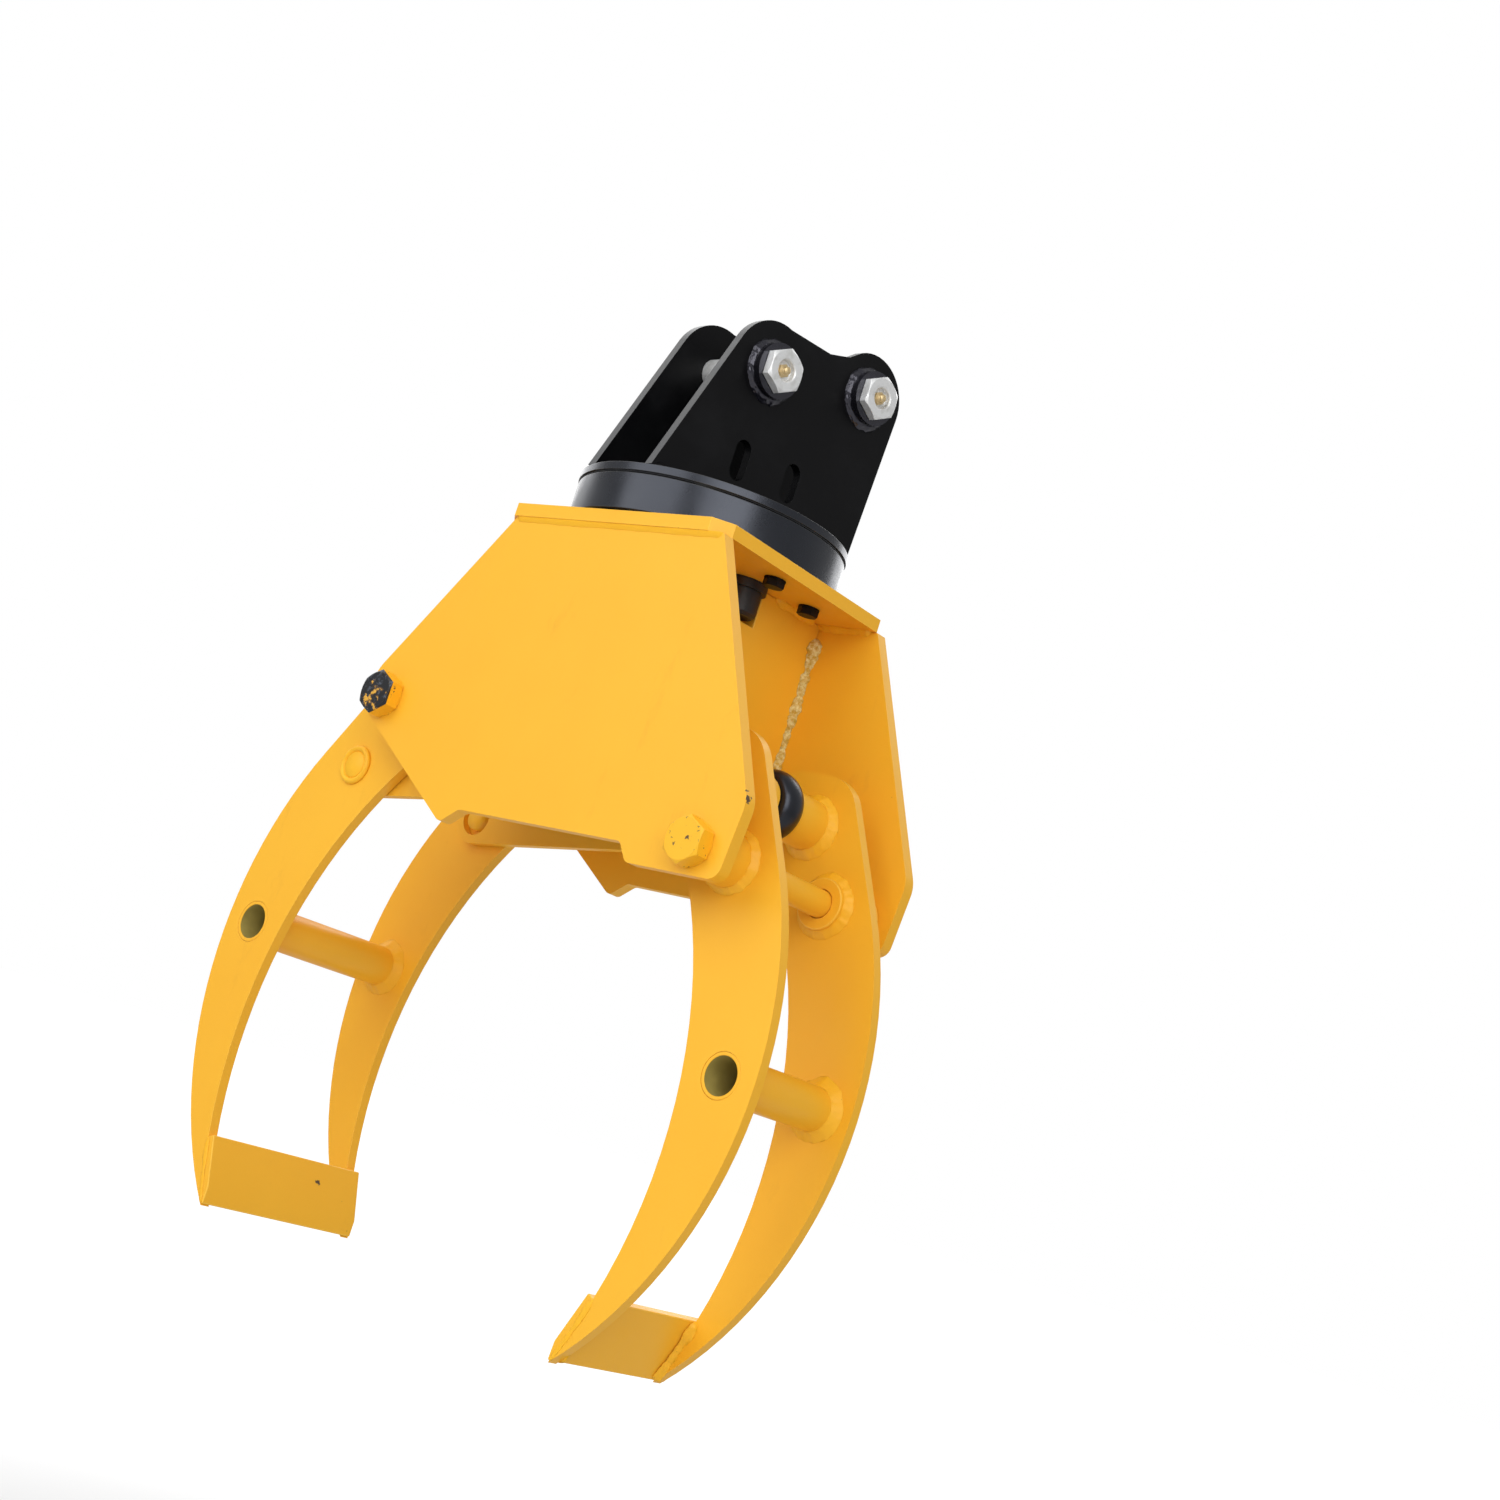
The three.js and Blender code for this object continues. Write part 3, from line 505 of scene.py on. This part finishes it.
def cast_paint():
    """Satin black paint over a sand-cast surface: grainy, dull, with dust caught in the pores."""
    material, tree, place = new_material("satin_black_casting")
    grain = add(tree, "ShaderNodeTexNoise", {
        "Vector": place, "Scale": 260.0, "Detail": 6.0, "Roughness": 0.7})
    tone = add(tree, "ShaderNodeMix", {0: grain.outputs["Fac"], 6: linear("#0e0f11"), 7: linear("#222326")},
               data_type="RGBA")
    bump = add(tree, "ShaderNodeBump", {"Height": grain.outputs["Fac"], "Strength": 0.45, "Distance": 0.0006})
    shader = add(tree, "ShaderNodeBsdfPrincipled", {
        "Base Color": tone.outputs[2], "Roughness": 0.46, "Normal": bump.outputs[0], "IOR": 1.5})
    return finish_material(material, tree, shader)


casting = cast_paint()
gear_steel = plain_metal("oiled_gear_steel", "#77797d", 0.3)
plate_copy("ring_gear", "head", [gear_steel], 0.3 * MM)
plate_copy("swivel_core", "head", [gear_steel], 0.5 * MM)
plate_copy("slew_race", "frame", [gear_steel], 0.5 * MM)
plate_copy("drive_pinion", "pinion", [gear_steel], 0.3 * MM)
plate_copy("slew_motor", "frame", [casting], 1.2 * MM)
plate_copy("swivel_housing", "frame", [casting], 0.9 * MM)

SLEW_BOLT_CIRCLE, SLEW_BOLT_FLATS, SLEW_BOLT_HEAD = 106.0, 17, 7.7
SLEW_BOLT_TURNS = np.radians([-8, 32, 148, 172, 212, 317])
DOWN_WAYS = (np.array([1.0, 0, 0]), np.array([0, -1.0, 0]), np.array([0, 0, -1.0]))
for number, turn in enumerate(SLEW_BOLT_TURNS, 1):
    spot = np.array([SLEW_BOLT_CIRCLE * math.cos(turn), SLEW_BOLT_CIRCLE * math.sin(turn), -PLATE - GAP])
    head_rows = chamfered_hexagon(SLEW_BOLT_FLATS, 1.5, SLEW_BOLT_HEAD)
    washer = [(0, -30), (4.6, -30), (5, -29.5), (5, 0), (9.8, 0), (9.8, 1.3)]
    spun(f"slew_bolt_{number}_part", washer + head_rows + [(0, SLEW_BOLT_HEAD)], (spot - ORIGIN) * MM,
         DOWN_WAYS, "frame", [black], (f"slew_bolt_{number}",), sides=48, round_off=0.25)

# ---------------------------------------------------------------------------
# Frame. A top plate, two side plates and two cross walls, cut from 10 and 12 mm
# steel, welded into a box open at both ends and sprayed machine yellow.
# ---------------------------------------------------------------------------
SIDE_OUTER, SIDE_INNER, WALL_X, WALL_THICK, WALL_FOOT = 120.0, 108.0, 60.0, 10.0, -155.0


def at(x, y, z):
    """A point in the grapple's own millimetres, from the slewing axis at the top plate, as row metres."""
    return (np.array([x, y, z], float) - ORIGIN) * MM


def yellow_paint(name="machine_yellow_enamel", base="#fbbf30", shade="#f6b22a", chips=0.0, rough=0.36,
                 knocks=()):
    """Sprayed machine yellow: warm and glossy with a fine orange peel, thin dust, and chips to dark steel.
    Each knock is a ragged bare spot: its place in the grapple's millimetres, then its radius."""
    material, tree, place = new_material(name)
    drift = add(tree, "ShaderNodeTexNoise", {"Vector": place, "Scale": 5.0, "Detail": 4.0, "Roughness": 0.6})
    paint = add(tree, "ShaderNodeMix", {0: drift.outputs["Fac"], 6: linear(base), 7: linear(shade)},
                data_type="RGBA")
    # Scuffs are 10 to 40 mm smears where chain and bark have rubbed.
    smear = add(tree, "ShaderNodeMapping", {"Vector": place, "Scale": (26.0, 26.0, 9.0)})
    rub = add(tree, "ShaderNodeTexNoise", {"Vector": smear.outputs[0], "Scale": 1.0, "Detail": 8.0,
                                           "Roughness": 0.72})
    rubbed = add(tree, "ShaderNodeMapRange", {"Value": rub.outputs["Fac"], 1: 0.60, 2: 0.82, 3: 0.0, 4: 0.35})
    dusted = add(tree, "ShaderNodeMix", {0: rubbed.outputs[0], 6: paint.outputs[2], 7: linear("#cf8d2c")},
                 data_type="RGBA")
    fleck = add(tree, "ShaderNodeTexNoise", {
        "Vector": place, "Scale": 170.0, "Detail": 5.0, "Roughness": 0.6})
    chipped = add(tree, "ShaderNodeMapRange", {
        "Value": fleck.outputs["Fac"], 1: 0.745 - chips, 2: 0.765 - chips, 3: 0.0, 4: 1.0})
    bare = chipped.outputs[0]
    for x, y, z, reach in knocks:
        gap = add(tree, "ShaderNodeVectorMath", {0: place, 1: tuple(at(x, y, z))}, operation="DISTANCE")
        ragged = add(tree, "ShaderNodeMath", {0: fleck.outputs["Fac"], 1: 0.014, 2: gap.outputs["Value"]},
                     operation="MULTIPLY_ADD")
        edge = (reach + 7.0) * MM
        struck = add(tree, "ShaderNodeMapRange", {
            "Value": ragged.outputs[0], 1: edge, 2: edge + 0.5 * MM, 3: 1.0, 4: 0.0})
        bare = add(tree, "ShaderNodeMath", {0: bare, 1: struck.outputs[0]}, operation="MAXIMUM").outputs[0]
    tone = add(tree, "ShaderNodeMix", {0: bare, 6: dusted.outputs[2], 7: linear("#5b4630")}, data_type="RGBA")
    gloss = add(tree, "ShaderNodeMapRange", {
        "Value": rub.outputs["Fac"], 1: 0.35, 2: 0.75, 3: rough, 4: rough + 0.18})
    # Orange peel is about 2 mm from crest to crest.
    peel = add(tree, "ShaderNodeTexNoise", {"Vector": place, "Scale": 480.0, "Detail": 1.5})
    sunk = add(tree, "ShaderNodeMath", {0: bare, 1: -1.5}, operation="MULTIPLY")
    height = add(tree, "ShaderNodeMath", {0: peel.outputs["Fac"], 1: sunk.outputs[0]}, operation="ADD")
    bump = add(tree, "ShaderNodeBump", {"Height": height.outputs[0], "Strength": 0.16, "Distance": 0.0005})
    shader = add(tree, "ShaderNodeBsdfPrincipled", {
        "Base Color": tone.outputs[2], "Roughness": gloss.outputs[0], "Normal": bump.outputs[0],
        "IOR": 1.46, "Specular IOR Level": 0.4})
    return finish_material(material, tree, shader)


def sandy_weld():
    """Weld metal with its paint sprayed thin: sandy, with cream specks and dull yellow between."""
    material, tree, place = new_material("thinly_painted_weld")
    speck = add(tree, "ShaderNodeTexNoise", {
        "Vector": place, "Scale": 210.0, "Detail": 4.0, "Roughness": 0.7})
    grain = add(tree, "ShaderNodeMapRange", {"Value": speck.outputs["Fac"], 1: 0.40, 2: 0.64})
    tone = add(tree, "ShaderNodeMix", {0: grain.outputs[0], 6: linear("#c9a02c"), 7: linear("#f0e3a0")},
               data_type="RGBA")
    bump = add(tree, "ShaderNodeBump", {"Height": speck.outputs["Fac"], "Strength": 0.6, "Distance": 0.0012})
    shader = add(tree, "ShaderNodeBsdfPrincipled", {
        "Base Color": tone.outputs[2], "Roughness": 0.7, "Normal": bump.outputs[0]})
    return finish_material(material, tree, shader)


yellow = yellow_paint()
# Rounded edges take a lighter yellow: a painted highlight along each edge, with a few more chips of wear.
yellow_edge_wear_and_highlight = yellow_paint("rubbed_yellow_edge_painted_highlight", "#ffcb48", "#f9bb38", 0.03, 0.36)
yellow_weld = yellow_paint("painted_weld_metal", "#ffc82e", "#f3ab14", 0.02, 0.4)
raw_weld = sandy_weld()
yellow_pair = [yellow, yellow_edge_wear_and_highlight]
KNOCKS = ((240, -119, -219, 3), (240, -117, -227, 3), (-273, 0, -625, 4), (-262, 40, -622, 3))
# The knocked pair's edge yellow is lighter too: a painted highlight, with chips of wear.
struck_pair = [yellow_paint("knocked_yellow_enamel", knocks=KNOCKS),
               yellow_paint("knocked_yellow_edge_painted_highlight", "#ffcb48", "#f9bb38", 0.03, 0.36, KNOCKS)]
FRAME_ROUND = 1.1 * MM
for node in ("top_plate", "side_plate_near", "side_plate_far", "cross_wall_right", "cross_wall_left"):
    paint = struck_pair if node == "side_plate_near" else yellow_pair
    plate_copy(node, "frame", paint, FRAME_ROUND)


X, Y, Z = WORLD_WAYS
for side, label in ((-1, "near"), (1, "far")):
    outer_y, inner_y = side * SIDE_OUTER, side * SIDE_INNER
    weld_bead(f"top_weld_{label}_outer", [at(-113, outer_y, -PLATE), at(130, outer_y, -PLATE)],
              side * Y, -Z, 2.2, 5, "frame", yellow_weld, seed=31 + side, rough=0.05)
    weld_bead(f"top_weld_{label}_inner", [at(-108, inner_y, -PLATE), at(124, inner_y, -PLATE)],
              -side * Y, -Z, 5, 5, "frame", yellow_weld, seed=33 + side)
    for wall in (-1, 1):
        x = wall * (WALL_X + WALL_THICK / 2)
        name = "left" if wall < 0 else "right"
        weld_bead(f"wall_weld_{name}_{label}", [at(x, inner_y, -24), at(x, inner_y, WALL_FOOT + 2)],
                  wall * X, -side * Y, 6.5, 6.5, "frame", raw_weld,
                  seed=35 + side + 2 * wall, rough=0.3)
for wall, name in ((-1, "left"), (1, "right")):
    x = wall * (WALL_X + WALL_THICK / 2)
    spans = ((-98, -38), (38, 98)) if wall > 0 else ((-98, 98),)
    for number, (low, high) in enumerate(spans, 1):
        weld_bead(f"wall_top_weld_{name}_{number}", [at(x, low, -PLATE), at(x, high, -PLATE)],
                  wall * X, -Z, 5, 5, "frame", yellow_weld, seed=41 + number + wall)

# ---------------------------------------------------------------------------
# Pivot bolts. Two M24 bolts carry the jaws. They were painted with the frame;
# the left one's head has since been hammered bare and blackened.
# ---------------------------------------------------------------------------
PIVOT_LEFT, PIVOT_RIGHT = (-202.0, -191.0), (202.0, -270.0)
BOLT_FLATS, BOLT_HEAD, BOLT_R, BOLT_NUT = 36.0, 15.0, 12.0, 18.9
BATTERED_DEEP = 4.5  # how far down the struck head's blackened face reaches


def battered_head():
    """A struck bolt face: blackened scale broken by blue-grey scrapes, rusty edges and islands of yellow."""
    material, tree, place = new_material("battered_bolt_face")
    patches = add(tree, "ShaderNodeTexNoise", {
        "Vector": place, "Scale": 95.0, "Detail": 5.0, "Roughness": 0.65})
    scrapes = add(tree, "ShaderNodeTexNoise", {
        "Vector": place, "Scale": 210.0, "Detail": 6.0, "Roughness": 0.8})
    grey = add(tree, "ShaderNodeMapRange", {"Value": scrapes.outputs["Fac"], 1: 0.54, 2: 0.62})
    scale = add(tree, "ShaderNodeMix", {0: grey.outputs[0], 6: linear("#101217"), 7: linear("#545a66")},
                data_type="RGBA")
    rim = add(tree, "ShaderNodeMapRange", {"Value": patches.outputs["Fac"], 1: 0.555, 2: 0.565})
    rusty = add(tree, "ShaderNodeMix", {0: rim.outputs[0], 6: scale.outputs[2], 7: linear("#6b4a24")},
                data_type="RGBA")
    kept = add(tree, "ShaderNodeMapRange", {"Value": patches.outputs["Fac"], 1: 0.585, 2: 0.60})
    tone = add(tree, "ShaderNodeMix", {0: kept.outputs[0], 6: rusty.outputs[2], 7: linear("#e0a737")},
               data_type="RGBA")
    bump = add(tree, "ShaderNodeBump", {"Height": kept.outputs[0], "Strength": 0.5, "Distance": 0.0006})
    shader = add(tree, "ShaderNodeBsdfPrincipled", {
        "Base Color": tone.outputs[2], "Roughness": 0.36, "Normal": bump.outputs[0]})
    return finish_material(material, tree, shader)


battered = battered_head()
chipped_yellow = yellow_paint("chipped_yellow_bolt", "#fdc32a", "#f3ad1c", 0.11, 0.36)
NEAR_WAYS = (X, Z, -Y)
FAR_WAYS = (X, -Z, Y)
for label, (x, z) in (("left", PIVOT_LEFT), ("right", PIVOT_RIGHT)):
    seat = at(x, -SIDE_OUTER - GAP, z)
    tail_end = -2 * SIDE_OUTER - 24.3
    rows = [(0, tail_end), (BOLT_R - 1.6, tail_end)]
    rows += thread(BOLT_R - 0.1, tail_end + 1.6, -2 * SIDE_OUTER - 2)
    rows += [(BOLT_R, -2 * SIDE_OUTER - 1), (BOLT_R, 0), (19.0, 0), (19.0, 0.8)]
    rows += chamfered_hexagon(BOLT_FLATS, 0.8, BOLT_HEAD) + [(0, BOLT_HEAD)]
    bolt = spun(f"{label}_pivot_bolt_part", rows, seat, NEAR_WAYS, "frame",
                [chipped_yellow, battered if label == "left" else chipped_yellow, yellow],
                (f"{label}_pivot_bolt",), round_off=0)
    break_edges(bolt, 0.5 * MM)
    depth = (seat[1] - np.array([p.center[1] for p in bolt.data.polygons])) / MM
    in_frame = (depth < 0) & (depth > -2 * SIDE_OUTER)
    kind = np.where(depth > BOLT_HEAD - BATTERED_DEEP, 1, np.where(in_frame, 2, 0))
    bolt.data.polygons.foreach_set("material_index", kind.astype(np.int32))
    nut_rows = [(BOLT_R + GAP, 0)] + chamfered_hexagon(BOLT_FLATS, 0, BOLT_NUT)
    nut_rows += [(BOLT_R + 1.7, BOLT_NUT), (BOLT_R + GAP, BOLT_NUT - 1.3)]
    spun(f"{label}_pivot_nut_part", nut_rows, at(x, SIDE_OUTER + GAP, z), FAR_WAYS, "frame",
         [chipped_yellow], (f"{label}_pivot_nut",), loop=True, round_off=0.5)

# ---------------------------------------------------------------------------
# Jaws. Each is two 10 mm claw tines joined by a brace tube and a ground blade,
# with turned bosses at its pins, all welded. The right jaw nests in the left.
# ---------------------------------------------------------------------------
HOLE_PITCH, TINE = 76.0, 10.0
LEFT_LEAN, RIGHT_LEAN = math.radians(36.5), math.radians(31.9)
BRACE, BRACE_R, BRACE_BORE, BOSS_R = (-42.0, -244.0), 19.0, 16.0, 22.5
RUNNING = 0.6  # clearance of a boss on its pin
JAWS = {
    "left": dict(side=-1, pivot=PIVOT_LEFT, hang=0.0, lean=LEFT_LEAN, outer=90.0),
    "right": dict(side=1, pivot=PIVOT_RIGHT, hang=HOLE_PITCH, lean=RIGHT_LEAN, outer=70.0),
}


def jaw_point(jaw, x, z, y=0.0):
    """A point drawn on a tine, from its upper hole with the hollow side at minus x, in row metres."""
    j = JAWS[jaw]
    turn = j["side"] * j["lean"]
    px, pz = j["side"] * x, z + j["hang"]
    return at(j["pivot"][0] + px * math.cos(turn) - pz * math.sin(turn), y,
              j["pivot"][1] + px * math.sin(turn) + pz * math.cos(turn))


def boss(name, inside, low, high, middle, side, body, rounding=1.0):
    """A turned ring round a pin on the near (-1) or far (1) side, from low to high across the jaw."""
    spun(name + "_part", [(inside, low), (BOSS_R, low), (BOSS_R, high), (inside, high)], middle,
         (X, side * -Z, side * Y), body, yellow_pair, (name,), loop=True, round_off=rounding)


def tube_primer():
    """Olive mill primer inside the tubes, dull, with brown rust bleeding through in streaks."""
    material, tree, place = new_material("olive_primer_in_bore")
    streak = add(tree, "ShaderNodeTexNoise", {"Vector": place, "Scale": 60.0, "Detail": 5.0})
    tone = add(tree, "ShaderNodeMix", {0: streak.outputs["Fac"], 6: linear("#8c7a3c"), 7: linear("#c3b264")},
               data_type="RGBA")
    bump = add(tree, "ShaderNodeBump", {"Height": streak.outputs["Fac"], "Strength": 0.3, "Distance": 0.001})
    shader = add(tree, "ShaderNodeBsdfPrincipled", {
        "Base Color": tone.outputs[2], "Roughness": 0.55, "Normal": bump.outputs[0]})
    return finish_material(material, tree, shader)


tube_inside = tube_primer()
for jaw, j in JAWS.items():
    body, outer = f"{jaw}_jaw", j["outer"]
    for part in ("tine_near", "tine_far", "blade"):
        paint = struck_pair if (jaw, part) == ("left", "blade") else yellow_pair
        plate_copy(f"{jaw}_{part}", body, paint, FRAME_ROUND)
    centre = jaw_point(jaw, *BRACE)
    tube_rows = [(BRACE_BORE, -outer), (BRACE_R, -outer), (BRACE_R, outer), (BRACE_BORE, outer)]
    tube = spun(f"{jaw}_brace_tube_part", tube_rows, centre, (X, -Z, Y), body,
                [yellow, tube_inside, yellow], (f"{jaw}_brace_tube",), loop=True, round_off=0.6)
    bore = np.array([p.center[:] for p in tube.data.polygons]) - centre
    inside = np.hypot(bore[:, 0], bore[:, 2]) < (BRACE_BORE + 0.3) * MM
    tube.data.polygons.foreach_set("material_index", inside.astype(np.int32))
    for side, label in ((-1, "near"), (1, "far")):
        ring_path, outward = circle(jaw_point(jaw, *BRACE, side * (outer - TINE)), X, Z, BRACE_R)
        weld_bead(f"{jaw}_tube_weld_{label}", ring_path, outward, -side * Y, 8, 8, body,
                  yellow_weld, crown=2.2, closed=True, seed=51 + side, rough=0.09)
    rest_hole = (0.0, 0.0) if jaw == "left" else (0.0, -HOLE_PITCH)
    for side, label in ((-1, "near"), (1, "far")):
        boss(f"{jaw}_pivot_boss_{label}", BOLT_R + RUNNING, outer + GAP, SIDE_INNER - 1,
             jaw_point(jaw, *rest_hole), side, body)
        ring_path, outward = circle(jaw_point(jaw, *rest_hole, side * outer), X, Z, BOSS_R)
        weld_bead(f"{jaw}_boss_weld_{label}", ring_path, outward, side * Y, 6, 6, body,
                  yellow_weld, crown=1.8, closed=True, seed=61 + side, rough=0.1)

# The blade's seams: a flat bead closes each end against the tines' hollow edges, and a fillet runs inside.
HOLLOW_X, HOLLOW_Z, HOLLOW_R = -433.0, -73.0, 388.0
TIP_ANGLE, BLADE_LONG = math.radians(-60.3), 62.0
for jaw, j in JAWS.items():
    turns = TIP_ANGLE + np.linspace(2, BLADE_LONG, 12) / HOLLOW_R
    seam, deeper = (np.array([jaw_point(jaw, HOLLOW_X + r * math.cos(t), HOLLOW_Z + r * math.sin(t))
                              for t in turns]) for r in (HOLLOW_R, HOLLOW_R + 1))
    inwards = deeper - seam
    inwards /= np.linalg.norm(inwards, axis=1)[:, None]
    for side, label in ((-1, "near"), (1, "far")):
        face = side * j["outer"] * MM * Y
        weld_bead(f"{jaw}_blade_seam_{label}", seam + face, inwards, side * Y, 2.4, 0.9, f"{jaw}_jaw",
                  yellow_weld, sweep=math.pi, crown=1.0, seed=91 + side, rough=0.22)
        inner = side * (j["outer"] - TINE) * MM * Y
        weld_bead(f"{jaw}_blade_fillet_{label}", seam + inner, inwards, -side * Y, 5, 5, f"{jaw}_jaw",
                  yellow_weld, crown=1.8, seed=95 + side, rough=0.16)

CYLINDER_BOSS_END, CROSS_PIN_R, LINK_PIN_R, COLLAR = 15.0, 12.0, 11.0, 9.0
for side, label in ((-1, "near"), (1, "far")):
    inner = JAWS["right"]["outer"] - TINE
    boss(f"cylinder_boss_{label}", CROSS_PIN_R + RUNNING, CYLINDER_BOSS_END, inner - GAP,
         jaw_point("right", 0, 0), side, "right_jaw")
    ring_path, outward = circle(jaw_point("right", 0, 0, side * inner), X, Z, BOSS_R)
    weld_bead(f"cylinder_boss_weld_{label}", ring_path, outward, -side * Y, 6.5, 6.5, "right_jaw",
              yellow_weld, crown=1.8, closed=True, seed=71 + side, rough=0.1)
    # A collar inside each tine keeps the jaw central on its pivot.
    boss(f"right_pivot_collar_{label}", BOLT_R + RUNNING, inner - COLLAR, inner - GAP,
         jaw_point("right", 0, -HOLE_PITCH), side, "right_jaw", rounding=1.2)
    ring_path, outward = circle(jaw_point("right", 0, -HOLE_PITCH, side * inner), X, Z, BOSS_R)
    weld_bead(f"right_collar_weld_{label}", ring_path, outward, -side * Y, 6.5, 5, "right_jaw",
              yellow_weld, crown=1.8, closed=True, seed=81 + side, rough=0.1)
    # The link pins are plug welded: a low button inside a raised ring of weld.
    button = [(0, -19), (LINK_PIN_R, -19), (LINK_PIN_R, GAP), (18.5, GAP), (18.3, 1.6), (17.2, 3.2),
              (15.6, 3.8), (14.0, 3.3), (13.0, 2.0), (12.6, 1.2), (12.2, 2.2), (11.4, 2.9), (0, 3.0)]
    outer = JAWS["left"]["outer"]
    spun(f"left_link_pin_{label}_part", button, jaw_point("left", 0, -HOLE_PITCH, side * outer),
         (X, side * -Z, side * Y), "left_jaw", [yellow_weld], (f"left_link_pin_{label}",),
         round_off=0)
PIN_END, PIN_FLANGE_R, PIN_FLANGE = JAWS["right"]["outer"] + 12, 17, 5
pin_rows = [(0, -PIN_END - PIN_FLANGE), (PIN_FLANGE_R - 1, -PIN_END - PIN_FLANGE),
            (PIN_FLANGE_R, -PIN_END - PIN_FLANGE + 1), (PIN_FLANGE_R, -PIN_END), (CROSS_PIN_R, -PIN_END),
            (CROSS_PIN_R, PIN_END - 1.5), (CROSS_PIN_R - 1.5, PIN_END), (0, PIN_END)]
spun("cross_pin_part", pin_rows, jaw_point("right", 0, 0), (X, -Z, Y), "right_jaw",
     [yellow], ("cross_pin",), round_off=0.4)

# ---------------------------------------------------------------------------
# Sync links. Two flat 8 mm bars with round ends tie the jaws together, so that
# they open and close as one. Cut from plate and painted with the rest.
# ---------------------------------------------------------------------------
for node in ("sync_link_near", "sync_link_far"):
    plate_copy(node, "links", yellow_pair, 0.9 * MM)

# ---------------------------------------------------------------------------
# Hydraulic cylinder. A black honed-tube barrel on the left pivot bolt pushes a
# hard-chromed rod, whose forged eye holds the cross pin of the right jaw.
# ---------------------------------------------------------------------------
forged_black = black_paint("gloss_black_forging", "#07080c", "#1c1e26", 0.2, 0.6, 0.9, 0.0, "#c9cfde")
chrome = plain_metal("hard_chrome", "#d9dce0", 0.06, 0.03, 1500.0)
barrel_black = black_paint("cylinder_enamel", "#101114", "#2b2c2f", 0.3)
plate_copy("cylinder_barrel", "cylinder", [barrel_black], 1.0 * MM)
plate_copy("cylinder_gland", "cylinder", [casting], 0.8 * MM)
plate_copy("cylinder_rod", "rod", [chrome], 0.8 * MM)
plate_copy("cylinder_piston", "rod", [gear_steel], 0.6 * MM)

# The rod's eye is forged and turned: a crowned ring, with a neck running back to the rod.
EYE_R, EYE_HALF, EYE_BORE = 31.0, 13.4, 15.5
crown_turn = np.radians(np.linspace(-62, 62, 15))
crown_rows = [(EYE_R - 9 + 9 * math.cos(t), (EYE_HALF - 1) * math.sin(t) / math.sin(crown_turn[-1]))
              for t in crown_turn]
eye_rows = [(EYE_BORE, -EYE_HALF), (EYE_R - 7, -EYE_HALF)] + crown_rows
eye_rows += [(EYE_R - 7, EYE_HALF), (EYE_BORE, EYE_HALF)]
eye_middle = jaw_point("right", 0, 0)
spun("rod_eye_part", eye_rows, eye_middle, (X, -Z, Y), "rod", [forged_black], ("rod_eye",),
     loop=True, round_off=1.0)
push = eye_middle - at(PIVOT_LEFT[0], 0, PIVOT_LEFT[1])
push /= np.linalg.norm(push)
spun("rod_eye_neck", [(0, -33), (16, -33), (16.8, -32), (16.8, -26), (14, -20), (0, -20)], eye_middle,
     (Y, np.cross(push, Y), push), "rod", [forged_black], round_off=0.4)
